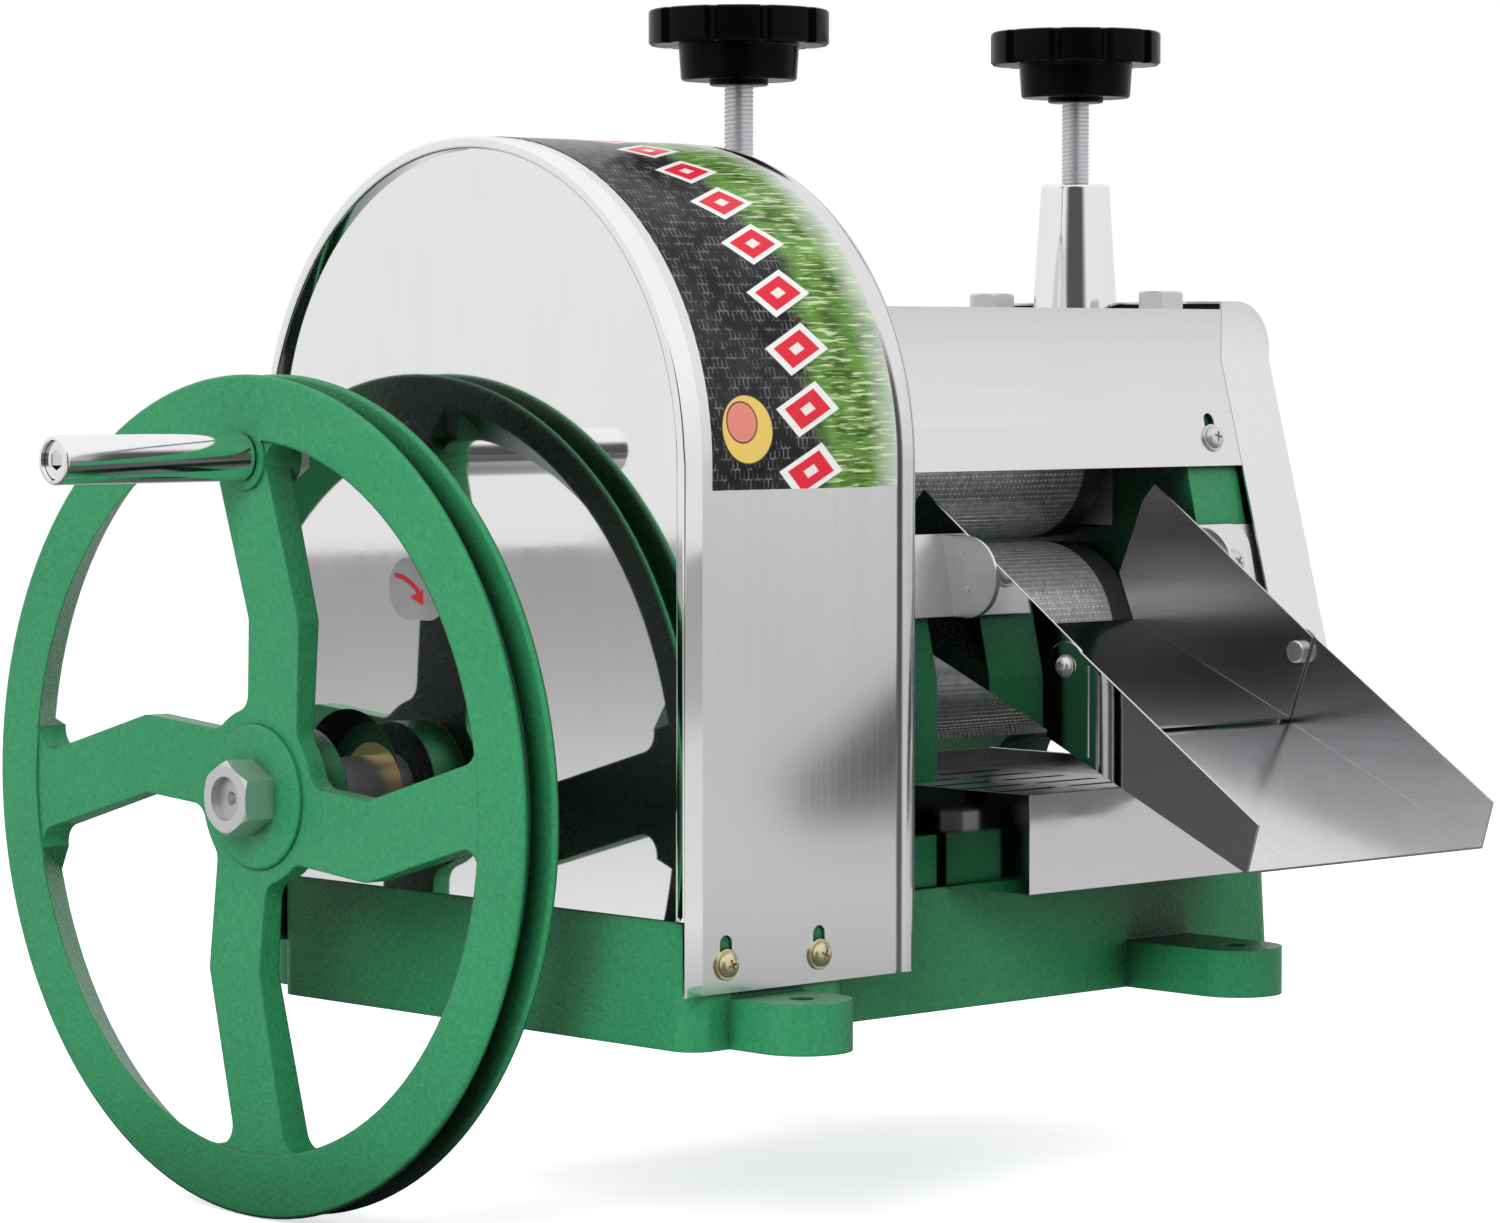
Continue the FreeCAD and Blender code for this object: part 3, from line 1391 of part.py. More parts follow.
def main():
    """Builds every sub-part and writes it to its own file."""
    os.makedirs("parts", exist_ok=True)
    write("base_casting", base_casting())
    write("left_side_frame", side_frame(left_out, left_in, True))
    write("right_side_frame", side_frame(right_in, right_out, False))
    write("left_frame_cap", frame_cap(left_out, left_in))
    write("right_frame_cap", frame_cap(right_in, right_out))
    write("left_screw_post", screw_post(left_mid))
    write("right_screw_post", screw_post(right_mid))
    write("cap_bolts", cap_bolts())
    write("frame_foot_bolts", foot_bolts())
    write("tie_rods", tie_rods())
    write("tie_rod_nuts", tie_rod_nuts())
    write("shaft_pedestal", shaft_pedestal())
    write("pedestal_bolts", pedestal_bolts())
    write("pedestal_bush", bush(pedestal_left, pedestal_right, shaft_y, shaft_z, shaft_r))
    write("frame_shaft_bush", bush(left_out, left_in, shaft_y, shaft_z, shaft_r))
    low_bushes = [bush(x, x + frame_thick, low_y, low_z, low_journal_r) for x in (left_out, right_in)]
    write("lower_roller_bushes", group(low_bushes))
    write("handwheel", handwheel())
    write("drive_shaft", drive_shaft())
    write("wheel_nut", wheel_nut())
    write("drive_pinion", drive_pinion())
    write("drive_shaft_keys", group([wheel_key(), pinion_key()]))
    collar_left = pedestal_right + collar_gap
    write("shaft_collar", collar(collar_left, collar_left + collar_long, shaft_y, shaft_z, shaft_r))
    write("handle_bolt", handle_bolt())
    write("handle_nut", handle_nut())
    write("handle_sleeve", handle_sleeve())
    write("top_roller", top_roller())
    write("large_gear", large_gear())
    top_gear = roller_gear(top_gear_teeth, top_gear_phase, top_y, top_z, top_journal_r, top_gear_key())
    write("top_roller_gear", top_gear)
    write("top_roller_keys", group([large_gear_key(), top_gear_key()]))
    write("lower_roller", lower_roller())
    low_gear = roller_gear(low_gear_teeth, low_gear_phase, low_y, low_z, low_journal_r, low_gear_key())
    write("lower_roller_gear", low_gear)
    write("lower_gear_key", low_gear_key())
    write("left_bearing_block", bearing_block(left_out, left_in))
    write("right_bearing_block", bearing_block(right_in, right_out))
    top_bushes = [bush(x, x + frame_thick, top_y, top_z, top_journal_r) for x in (left_out, right_in)]
    write("top_roller_bushes", group(top_bushes))
    write("left_pressure_screw", pressure_screw(left_mid))
    write("right_pressure_screw", pressure_screw(right_mid))
    write("left_star_knob", star_knob(left_mid))
    write("right_star_knob", star_knob(right_mid))
    write("gear_case_wrap", gear_case_wrap())
    write("gear_case_side_panel", gear_case_side_panel())
    write("gear_case_back_panel", gear_case_back_panel())
    write("case_spacers", case_spacers())
    write("case_screws", case_screws())
    write("case_label", case_label())
    write("turning_sticker", turning_sticker())
    write("hood", hood())
    write("hood_screws", hood_screws())
    write("right_cover", right_cover())
    write("cover_standoffs", cover_standoffs())
    write("cover_screws", cover_screws())
    write("chute_inner", chute_inner())
    write("chute_outer", chute_outer())
    write("chute_rivets", chute_rivets())
    write("chute_brackets", group([chute_bracket(-1), chute_bracket(1)]))
    write("bracket_backing_plates", group([bracket_backing(-1), bracket_backing(1)]))
    write("bracket_screws", bracket_screws())
    write("juice_tray", juice_tray())
    write("tray_strainer", tray_strainer())


main()
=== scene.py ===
"""Looks of a hand-cranked two-roller sugarcane juicer, built round its packed construction model.

Lengths are in millimetres and become metres where a mesh is made. The axes are the model's own:
X along the rollers away from the handwheel, Y from the feed chute to the back, Z up.
"""

import json
import logging
import math
from collections.abc import Callable, Iterator, Sequence
from contextlib import contextmanager
from dataclasses import dataclass
from enum import Enum
from typing import ClassVar

import bmesh
import bpy
from mathutils import Matrix, Vector


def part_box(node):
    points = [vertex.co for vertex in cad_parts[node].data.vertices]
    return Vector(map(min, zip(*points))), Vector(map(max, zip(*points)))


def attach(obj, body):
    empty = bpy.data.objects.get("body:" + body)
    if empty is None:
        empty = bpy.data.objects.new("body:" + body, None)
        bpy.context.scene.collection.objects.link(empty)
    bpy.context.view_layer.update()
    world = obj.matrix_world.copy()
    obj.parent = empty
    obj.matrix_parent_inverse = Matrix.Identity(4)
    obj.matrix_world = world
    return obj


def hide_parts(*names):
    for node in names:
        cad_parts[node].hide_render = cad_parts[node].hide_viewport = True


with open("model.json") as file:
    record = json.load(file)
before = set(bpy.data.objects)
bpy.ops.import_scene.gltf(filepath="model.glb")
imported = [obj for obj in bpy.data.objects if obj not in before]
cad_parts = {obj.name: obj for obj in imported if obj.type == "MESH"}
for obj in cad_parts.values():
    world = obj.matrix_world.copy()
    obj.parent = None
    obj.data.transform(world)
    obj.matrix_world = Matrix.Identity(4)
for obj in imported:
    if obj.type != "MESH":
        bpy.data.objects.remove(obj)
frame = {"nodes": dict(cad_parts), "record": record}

MM = 0.001
SHARP = 35.0
LOG = logging.getLogger("juicer")

NODES: dict[str, bpy.types.Object] = frame["nodes"]
BODY_OF = {node: body for body, nodes in frame["record"]["behaviour"]["bodies"].items() for node in nodes}

Colour = tuple[float, float, float]
Point = tuple[float, float, float]
Socket = bpy.types.NodeSocket


class Axis(Enum):
    """Row axis that a turned piece is built along."""

    X = (1.0, 0.0, 0.0)
    Y = (0.0, 1.0, 0.0)
    Z = (0.0, 0.0, 1.0)

    @property
    def way(self) -> Vector:
        """Unit vector of the axis."""
        return Vector(self.value)

    @property
    def tilt(self) -> tuple[float, float, float]:
        """Euler angles that turn +Z onto the axis."""
        return tuple(Vector((0, 0, 1)).rotation_difference(self.way).to_euler())


# ---- bench tools --------------------------------------------------------------------------------


def only(obj: bpy.types.Object) -> None:
    """Selects one object alone and makes it active."""
    bpy.ops.object.select_all(action="DESELECT")
    obj.select_set(True)
    bpy.context.view_layer.objects.active = obj


@contextmanager
def editing(obj: bpy.types.Object) -> Iterator[None]:
    """Holds an object in edit mode."""
    only(obj)
    bpy.ops.object.mode_set(mode="EDIT")
    yield
    bpy.ops.object.mode_set(mode="OBJECT")


def adopt(name: str) -> bpy.types.Object:
    """Names the primitive just added and puts its place into its mesh.

    Args:
        name: Name of the piece.

    Returns:
        The piece, at the origin, unturned and unscaled.
    """
    obj = bpy.context.active_object
    obj.name = name
    obj.data.name = name
    only(obj)
    bpy.ops.object.transform_apply(location=True, rotation=True, scale=True)
    return obj


def pick(obj: bpy.types.Object, wanted: Callable[[Vector], bool]) -> int:
    """Selects vertices by place, with the edges and faces between them. The object is in edit mode.

    Args:
        obj: The object being edited.
        wanted: Test of a vertex's place, in millimetres.

    Returns:
        How many vertices are selected.
    """
    bpy.ops.mesh.select_mode(type="VERT")
    mesh = bmesh.from_edit_mesh(obj.data)
    for vertex in mesh.verts:
        vertex.select = wanted(vertex.co / MM)
    mesh.select_flush_mode()
    bmesh.update_edit_mesh(obj.data)
    return sum(vertex.select for vertex in mesh.verts)


def apply_modifier(obj: bpy.types.Object, kind: str, **settings: object) -> None:
    """Adds a modifier, sets it and applies it.

    Args:
        obj: The object.
        kind: Blender's name of the modifier's type.
        **settings: Values of its properties.
    """
    only(obj)
    modifier = obj.modifiers.new(kind.lower(), kind)
    for key, value in settings.items():
        setattr(modifier, key, value)
    bpy.ops.object.modifier_apply(modifier=modifier.name)


def smooth(obj: bpy.types.Object, angle: float = SHARP) -> None:
    """Shades an object smooth across edges flatter than angle, and keeps its flat faces flat."""
    only(obj)
    bpy.ops.object.shade_smooth_by_angle(angle=math.radians(angle))
    apply_modifier(obj, "WEIGHTED_NORMAL", keep_sharp=True, weight=80)


def round_edges(obj: bpy.types.Object, width: float, wanted: Callable[[Vector], bool]) -> None:
    """Rounds the sharp edges whose two ends pass a test.

    Args:
        obj: The object.
        width: Width of the rounding.
        wanted: Test of an end's place, in millimetres.
    """
    with editing(obj):
        bpy.ops.mesh.select_all(action="DESELECT")
        bpy.ops.mesh.select_mode(type="EDGE")
        bpy.ops.mesh.edges_select_sharp(sharpness=math.radians(SHARP))
        mesh = bmesh.from_edit_mesh(obj.data)
        for edge in mesh.edges:
            if edge.select and not all(wanted(vertex.co / MM) for vertex in edge.verts):
                edge.select_set(False)
        bmesh.update_edit_mesh(obj.data)
        bpy.ops.mesh.bevel(offset=width * MM, segments=3, affect="EDGES", clamp_overlap=False)


def soften(obj: bpy.types.Object, width: float, segments: int = 2) -> None:
    """Rounds every sharp edge, inner corners too.

    Args:
        obj: The object.
        width: Width of the rounding.
        segments: Faces across it.
    """
    apply_modifier(obj, "BEVEL", width=width * MM, segments=segments, limit_method="ANGLE",
                   angle_limit=math.radians(SHARP), miter_outer="MITER_ARC")


def carve(obj: bpy.types.Object, tool: bpy.types.Object, operation: str = "DIFFERENCE") -> None:
    """Cuts an object with a tool piece, and throws the tool away.

    Args:
        obj: The object.
        tool: The cutting piece.
        operation: Blender's name of the boolean operation.
    """
    apply_modifier(obj, "BOOLEAN", object=tool, operation=operation, solver="EXACT")
    bpy.data.objects.remove(tool)


def turned(name: str, axis: Axis, centre: Vector, rings: Sequence[tuple[float, float]], sides: int = 64,
           hollow: bool = False) -> bpy.types.Object:
    """Turns a piece about an axis: a circle is extruded ring by ring and resized.

    Args:
        name: Name of the piece.
        axis: Axis that it is turned about.
        centre: Point on the axis that distances count from.
        rings: Distance along the axis and radius of each ring.
        sides: Faces round the axis.
        hollow: True if the rings go round a closed section, so that the last ring meets the first.

    Returns:
        The closed piece.
    """
    bpy.ops.object.select_all(action="DESELECT")
    first, radius = rings[0]
    bpy.ops.mesh.primitive_circle_add(
        vertices=sides, radius=radius * MM, fill_type="NOTHING" if hollow else "NGON",
        location=(centre + axis.way * first) * MM, rotation=axis.tilt)
    obj = adopt(name)
    with editing(obj):
        bpy.ops.mesh.select_all(action="SELECT")
        for (here, small), (there, large) in zip(rings, rings[1:]):
            bpy.ops.mesh.extrude_region_move(
                TRANSFORM_OT_translate={"value": axis.way * (there - here) * MM})
            if large != small:
                bpy.ops.transform.resize(value=(large / small,) * 3,
                                         center_override=(centre + axis.way * there) * MM)
        bpy.ops.mesh.select_all(action="SELECT")
        bpy.ops.mesh.remove_doubles(threshold=1e-6)
        bpy.ops.mesh.normals_make_consistent(inside=False)
    return obj


def block(name: str, low: Vector, high: Vector) -> bpy.types.Object:
    """Adds a cuboid between two corners."""
    bpy.ops.object.select_all(action="DESELECT")
    bpy.ops.mesh.primitive_cube_add(size=1, location=(low + high) / 2 * MM, scale=(high - low) * MM)
    return adopt(name)


def polyline(name: str, points: Sequence[Vector]) -> bpy.types.Object:
    """Draws an open line of edges: a plane is merged to one corner, which is extruded from point to point.

    Args:
        name: Name of the piece.
        points: The line's points.

    Returns:
        The line.
    """
    bpy.ops.object.select_all(action="DESELECT")
    bpy.ops.mesh.primitive_plane_add(size=MM, location=points[0] * MM)
    obj = adopt(name)
    with editing(obj):
        bpy.ops.mesh.select_all(action="SELECT")
        bpy.ops.mesh.merge(type="CENTER")
        for here, there in zip(points, points[1:]):
            bpy.ops.mesh.extrude_vertices_move(TRANSFORM_OT_translate={"value": (there - here) * MM})
    return obj


def drawn_out(obj: bpy.types.Object, way: Vector) -> bpy.types.Object:
    """Extrudes a line of edges into a sheet."""
    with editing(obj):
        bpy.ops.mesh.select_all(action="SELECT")
        bpy.ops.mesh.extrude_region_move(TRANSFORM_OT_translate={"value": way * MM})
        bpy.ops.mesh.select_all(action="SELECT")
        bpy.ops.mesh.normals_make_consistent(inside=False)
    return obj


def from_node(node: str, width: float = 0.0, segments: int = 2) -> bpy.types.Object:
    """Copies a construction node, welds its loose triangles and rounds its edges.

    Args:
        node: Name of the node.
        width: Width of the rounding, or 0 for none.
        segments: Faces across the rounding.

    Returns:
        The copy, named after the node, which it replaces later.
    """
    obj = bpy.data.objects.new(node + "_dressed", NODES[node].data.copy())
    bpy.context.scene.collection.objects.link(obj)
    obj.data.materials.clear()
    with editing(obj):
        bpy.ops.mesh.customdata_custom_splitnormals_clear()
        bpy.ops.mesh.select_all(action="SELECT")
        bpy.ops.mesh.remove_doubles(threshold=2e-6)
        bpy.ops.mesh.dissolve_limited(angle_limit=math.radians(0.4))
    if width:
        soften(obj, width, segments)
    return obj


def joined(name: str, pieces: Sequence[bpy.types.Object]) -> bpy.types.Object:
    """Joins separate pieces into one object."""
    bpy.ops.object.select_all(action="DESELECT")
    for piece in pieces:
        piece.select_set(True)
    bpy.context.view_layer.objects.active = pieces[0]
    bpy.ops.object.join()
    return adopt(name)


def repeated(name: str, master: bpy.types.Object, places: Sequence[Matrix]) -> bpy.types.Object:
    """Copies a master piece to several places, each copy with its own mesh, and joins the copies.

    Args:
        name: Name of the joined piece.
        master: Piece modelled at the origin, pointing along +Z. It is thrown away.
        places: Where each copy goes.

    Returns:
        The joined piece.
    """
    copies = []
    for place in places:
        copy = master.copy()
        copy.data = master.data.copy()
        copy.data.transform(place)
        bpy.context.scene.collection.objects.link(copy)
        copies.append(copy)
    bpy.data.objects.remove(master)
    return joined(name, copies)


def seat(point: Vector, out: Vector, turn: float = 0.0) -> Matrix:
    """Place of a fastener: its head's seat, the way its head points, and its turn in degrees."""
    aim = Vector((0, 0, 1)).rotation_difference(out).to_matrix().to_4x4()
    return Matrix.Translation(point * MM) @ aim @ Matrix.Rotation(math.radians(turn), 4, "Z")


def span(node: str) -> tuple[Vector, Vector]:
    """Lowest and highest corner of a construction node, in millimetres."""
    low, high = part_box(node)
    return low / MM, high / MM


def upright_axis(node: str) -> Vector:
    """Point at height 0 on the upright axis through the middle of a construction node."""
    low, high = span(node)
    return Vector(((low.x + high.x) / 2, (low.y + high.y) / 2, 0))


def reach(node: str, way: Vector) -> tuple[float, float]:
    """Least and greatest distance of a construction node's corners along a way, in millimetres."""
    along = [vertex.co.dot(way) / MM for vertex in NODES[node].data.vertices]
    return min(along), max(along)


def hand_over(obj: bpy.types.Object, finish: "Finish", *nodes: str) -> bpy.types.Object:
    """Gives a finished piece its surface and lets it stand for construction nodes.

    Args:
        obj: The piece.
        finish: Its surface.
        *nodes: Nodes that it replaces; it rides on the body of the first.

    Returns:
        The piece.
    """
    obj.data.materials.clear()
    obj.data.materials.append(finish.material())
    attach(obj, BODY_OF[nodes[0]])
    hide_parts(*nodes)
    LOG.info("%s stands for %s", obj.name, ", ".join(nodes))
    return obj


def coat(finish: "Finish", *nodes: str) -> None:
    """Gives construction nodes that stay in sight their surface."""
    for node in nodes:
        NODES[node].data.materials.clear()
        NODES[node].data.materials.append(finish.material())
        LOG.info("%s is coated", node)


# ---- surfaces -----------------------------------------------------------------------------------


def scaled(tone: Colour, share: float) -> Colour:
    """Scales a colour's parts."""
    return tuple(part * share for part in tone)


class Graph:
    """A material's node tree, with one Principled shader and Object coordinates."""

    def __init__(self, name: str) -> None:
        """Starts a material with an empty tree and its shader."""
        self.material = bpy.data.materials.new(name)
        self.material.use_nodes = True
        self.tree = self.material.node_tree
        self.tree.nodes.clear()
        self.shader = self.add("ShaderNodeBsdfPrincipled")
        output = self.add("ShaderNodeOutputMaterial")
        self.join(self.shader.outputs["BSDF"], output.inputs["Surface"])
        self.place = self.add("ShaderNodeTexCoord").outputs["Object"]

    def add(self, kind: str, **settings: object) -> bpy.types.Node:
        """Adds a node and sets its properties."""
        node = self.tree.nodes.new(kind)
        for key, value in settings.items():
            setattr(node, key, value)
        return node

    def join(self, start: Socket, end: Socket) -> None:
        """Links two sockets."""
        self.tree.links.new(start, end)

    def fixed(self, **values: object) -> None:
        """Sets even values on the shader's own sockets; an underscore stands for a space."""
        for key, value in values.items():
            self.shader.inputs[key.replace("_", " ")].default_value = value

    def feed(self, name: str, source: Socket) -> None:
        """Links a socket to one of the shader's inputs."""
        self.join(source, self.shader.inputs[name])

    def mapped(self, scale: Point, turn: Point = (0, 0, 0), shift: Point = (0, 0, 0),
               source: Socket | None = None) -> Socket:
        """Stretches, turns and shifts coordinates.

        Args:
            scale: Stretch along each axis.
            turn: Euler angles in degrees.
            shift: Shift along each axis.
            source: Coordinates to change, Object coordinates by default.

        Returns:
            The changed coordinates.
        """
        node = self.add("ShaderNodeMapping")
        node.inputs["Scale"].default_value = scale
        node.inputs["Rotation"].default_value = tuple(math.radians(angle) for angle in turn)
        node.inputs["Location"].default_value = shift
        self.join(source or self.place, node.inputs["Vector"])
        return node.outputs["Vector"]

    def noise(self, scale: float, detail: float = 2.0, source: Socket | None = None,
              distortion: float = 0.0) -> Socket:
        """Adds a noise pattern and returns its level."""
        node = self.add("ShaderNodeTexNoise")
        node.inputs["Scale"].default_value = scale
        node.inputs["Detail"].default_value = detail
        node.inputs["Distortion"].default_value = distortion
        self.join(source or self.place, node.inputs["Vector"])
        return node.outputs["Fac"]

    def spread(self, level: Socket, low: float, high: float, start: float = 0.3,
               end: float = 0.7) -> Socket:
        """Maps a level between start and end onto low to high."""
        node = self.add("ShaderNodeMapRange")
        for key, value in (("From Min", start), ("From Max", end), ("To Min", low), ("To Max", high)):
            node.inputs[key].default_value = value
        self.join(level, node.inputs["Value"])
        return node.outputs["Result"]

    def ramp(self, level: Socket, *stops: tuple[float, Colour]) -> Socket:
        """Turns a level into a colour by stops."""
        node = self.add("ShaderNodeValToRGB")
        elements = node.color_ramp.elements
        while len(elements) < len(stops):
            elements.new(0.5)
        for element, (place, colour) in zip(elements, stops):
            element.position = place
            element.color = (*colour, 1.0)
        self.join(level, node.inputs["Fac"])
        return node.outputs["Color"]

    def maths(self, operation: str, first: Socket | float,
              second: Socket | float = 0.0) -> Socket:
        """Adds a Math node and returns its value."""
        node = self.add("ShaderNodeMath", operation=operation)
        for socket, value in zip(node.inputs, (first, second)):
            if isinstance(value, Socket):
                self.join(value, socket)
            else:
                socket.default_value = value
        return node.outputs["Value"]

    def mixture(self, first: Socket, share: float, second: Socket,
                other_share: float) -> Socket:
        """Adds shares of two levels."""
        return self.maths("ADD", self.maths("MULTIPLY", first, share),
                          self.maths("MULTIPLY", second, other_share))

    def distance(self, side: Socket, rise: Socket) -> Socket:
        """Length of a step with two legs at right angles."""
        squares = self.maths("ADD", self.maths("MULTIPLY", side, side), self.maths("MULTIPLY", rise, rise))
        return self.maths("SQRT", squares)

    def split(self, source: Socket) -> bpy.types.NodeOutputs:
        """Splits coordinates into X, Y and Z."""
        parts = self.add("ShaderNodeSeparateXYZ")
        self.join(source, parts.inputs["Vector"])
        return parts.outputs

    def blended(self, level: Socket, low: Socket | Colour,
                high: Socket | Colour) -> Socket:
        """Mixes two colours by a level."""
        node = self.add("ShaderNodeMix", data_type="RGBA")
        self.join(level, node.inputs[0])
        for socket, value in ((node.inputs[6], low), (node.inputs[7], high)):
            if isinstance(value, Socket):
                self.join(value, socket)
            else:
                socket.default_value = (*value, 1.0)
        return node.outputs[2]

    def raised(self, height: Socket, distance: float, edge_round: float = 0.0) -> None:
        """Lets a height pattern shape the shader's normal.

        Args:
            height: The pattern's level.
            distance: Height of its full range, in millimetres.
            edge_round: Radius over which edges shade round, in millimetres, or 0 for none.
        """
        node = self.add("ShaderNodeBump")
        node.inputs["Strength"].default_value = 1.0
        node.inputs["Distance"].default_value = distance * MM
        self.join(height, node.inputs["Height"])
        if edge_round:
            edge = self.add("ShaderNodeBevel", samples=6)
            edge.inputs["Radius"].default_value = edge_round * MM
            self.join(edge.outputs["Normal"], node.inputs["Normal"])
        self.feed("Normal", node.outputs["Normal"])


@dataclass(frozen=True)
class Finish:
    """A surface. Each kind of surface paints its own node tree."""

    name: str

    def material(self) -> bpy.types.Material:
        """Returns the surface's material, made on first use."""
        known = bpy.data.materials.get(self.name)
        if known:
            return known
        graph = Graph(self.name)
        self.paint(graph)
        return graph.material

    def paint(self, graph: Graph) -> None:
        """Fills the node tree."""
        raise NotImplementedError


@dataclass(frozen=True)
class Enamel(Finish):
    """Glossy enamel over a sand casting: dimples, a slow change of tone, painted shade in recesses and between
    close parts, and soft edges.
    """

    pale: Colour = (0.036, 0.315, 0.126)
    deep: Colour = (0.024, 0.225, 0.090)
    dimple: float = 420.0
    relief: float = 0.40
    edge_round: float = 1.6
    # Near-black green painted in as shade in recesses and between close parts, out to the shade reach.
    recess: Colour = (0.003, 0.012, 0.007)
    shade_reach: float = 120.0

    def paint(self, graph: Graph) -> None:
        """Fills the node tree."""
        slow = graph.noise(9.0, 3.0)
        fine = graph.noise(self.dimple, 3.0, distortion=0.4)
        grit = graph.noise(self.dimple * 2.6, 2.0)
        tone = graph.mixture(slow, 0.35, fine, 0.65)
        # Painted shade: an ambient-occlusion pass blends the coat towards the near-black colour wherever other
        # surfaces are near.
        shade_occlusion = graph.add("ShaderNodeAmbientOcclusion", samples=6)
        shade_occlusion.inputs["Distance"].default_value = self.shade_reach * MM
        unshaded_share = graph.spread(shade_occlusion.outputs["AO"], 0.0, 1.0, 0.30, 0.72)
        coat_tone = graph.ramp(tone, (0.32, self.deep), (0.68, self.pale))
        graph.feed("Base Color", graph.blended(unshaded_share, self.recess, coat_tone))
        graph.feed("Roughness", graph.spread(grit, 0.20, 0.44))
        graph.fixed(Specular_IOR_Level=0.30)
        relief = graph.maths("ADD", fine, graph.maths("MULTIPLY", grit, 0.3))
        graph.raised(relief, self.relief, self.edge_round)


@dataclass(frozen=True)
class SheetSteel(Finish):
    """Stainless sheet with a fine grain along one axis."""

    grain: Axis = Axis.X
    tone: Colour = (0.66, 0.66, 0.675)
    rough: float = 0.24
    spreading: float = 0.10

    def paint(self, graph: Graph) -> None:
        """Fills the node tree."""
        along = Vector((900.0, 900.0, 900.0)) - self.grain.way * 894.0
        streaks = graph.noise(1.0, 3.0, graph.mapped(tuple(along)))
        cloud = graph.noise(14.0, 2.0)
        level = graph.mixture(streaks, 0.7, cloud, 0.3)
        graph.feed("Base Color", graph.ramp(level, (0.35, scaled(self.tone, 0.96)), (0.65, self.tone)))
        graph.feed("Roughness", graph.spread(level, self.rough, self.rough + self.spreading))
        graph.fixed(Metallic=1.0)
        graph.raised(streaks, 0.006)


@dataclass(frozen=True)
class PolishedSteel(Finish):
    """Mirror-polished sheet or bar with faint waves and wipe marks."""

    tone: Colour = (0.80, 0.80, 0.81)
    rough: float = 0.035
    wave: float = 0.05

    def paint(self, graph: Graph) -> None:
        """Fills the node tree."""
        wave = graph.noise(7.0, 1.0)
        wipe = graph.noise(45.0, 4.0, graph.mapped((1.0, 1.0, 0.35), (25.0, 0.0, 0.0)))
        graph.feed("Base Color", graph.ramp(wipe, (0.3, scaled(self.tone, 0.97)), (0.7, self.tone)))
        graph.feed("Roughness", graph.spread(wipe, self.rough, self.rough * 2.2))
        graph.fixed(Metallic=1.0)
        graph.raised(wave, self.wave)


@dataclass(frozen=True)
class ChuteSteel(Finish):
    """Stainless sheet, satin but for the mirror-polished outer face of its left wall."""

    tone: Colour = (0.60, 0.60, 0.62)
    polished_tone: Colour = (0.72, 0.72, 0.735)
    satin: float = 0.20
    polished: float = 0.03
    wall_x: float = 11.0

    def paint(self, graph: Graph) -> None:
        """Fills the node tree."""
        inside = graph.spread(graph.split(graph.place)["X"], 0.0, 1.0, (self.wall_x - 0.1) * MM,
                              (self.wall_x + 0.1) * MM)
        grain = graph.noise(1.0, 3.0, graph.mapped((700.0, 12.0, 700.0)))
        satin = graph.ramp(grain, (0.35, scaled(self.tone, 0.92)), (0.65, self.tone))
        graph.feed("Base Color", graph.blended(inside, self.polished_tone, satin))
        graph.feed("Roughness", graph.spread(inside, self.polished, self.satin, 0.0, 1.0))
        graph.fixed(Metallic=1.0)


@dataclass(frozen=True)
class TurnedSteel(Finish):
    """Machined or plated steel: mottled tone and fine tool marks."""

    tone: Colour = (0.56, 0.56, 0.57)
    dark: Colour = (0.34, 0.34, 0.35)
    rough: float = 0.26
    mark: float = 420.0
    metal: float = 1.0

    def paint(self, graph: Graph) -> None:
        """Fills the node tree."""
        mottle = graph.noise(38.0, 4.0)
        marks = graph.noise(self.mark, 2.0)
        level = graph.mixture(mottle, 0.6, marks, 0.4)
        graph.feed("Base Color", graph.ramp(level, (0.36, self.dark), (0.62, self.tone)))
        graph.feed("Roughness", graph.spread(level, self.rough + 0.14, self.rough))
        graph.fixed(Metallic=self.metal)
        graph.raised(marks, 0.015)


@dataclass(frozen=True)
class RollerSteel(Finish):
    """Fluted steel: bright ribs with a painted highlight, near-black painted shade in the grooves between them,
    and painted shade on the smooth ends beside the frames.
    """

    centre_y: float = 0.0
    centre_z: float = 0.0
    radius: float = 43.0
    deep: float = 1.05
    middle_x: float = 92.0
    half_long: float = 77.0
    # Rib crests carry a painted highlight, the grooves near-black painted shade, and the ends painted shade
    # where they sit beside the frames.
    lit_rib: Colour = (0.90, 0.90, 0.91)
    groove_shade: Colour = (0.02, 0.02, 0.021)
    end: Colour = (0.10, 0.10, 0.105)
    metal: float = 0.75

    def paint(self, graph: Graph) -> None:
        """Fills the node tree."""
        parts = graph.split(graph.place)
        side = graph.maths("SUBTRACT", parts["Y"], self.centre_y * MM)
        rise = graph.maths("SUBTRACT", parts["Z"], self.centre_z * MM)
        # Painted light by distance from the axis: a bright painted highlight on the crests, near-black painted
        # shade down in the grooves.
        crest = graph.spread(graph.distance(side, rise), 0.0, 1.0, (self.radius - self.deep) * MM,
                             (self.radius - 0.15 * self.deep) * MM)
        wear = graph.spread(graph.noise(300.0, 3.0), 0.55, 1.0)
        ribs = graph.blended(graph.maths("MULTIPLY", crest, wear), self.groove_shade, self.lit_rib)
        # Painted shade: everything past the barrel's ends, beside the frames, takes the dark end colour.
        away = graph.maths("ABSOLUTE", graph.maths("SUBTRACT", parts["X"], self.middle_x * MM))
        past = graph.spread(away, 0.0, 1.0, self.half_long * MM, (self.half_long + 0.2) * MM)
        graph.feed("Base Color", graph.blended(past, ribs, self.end))
        graph.fixed(Metallic=self.metal, Roughness=0.26)


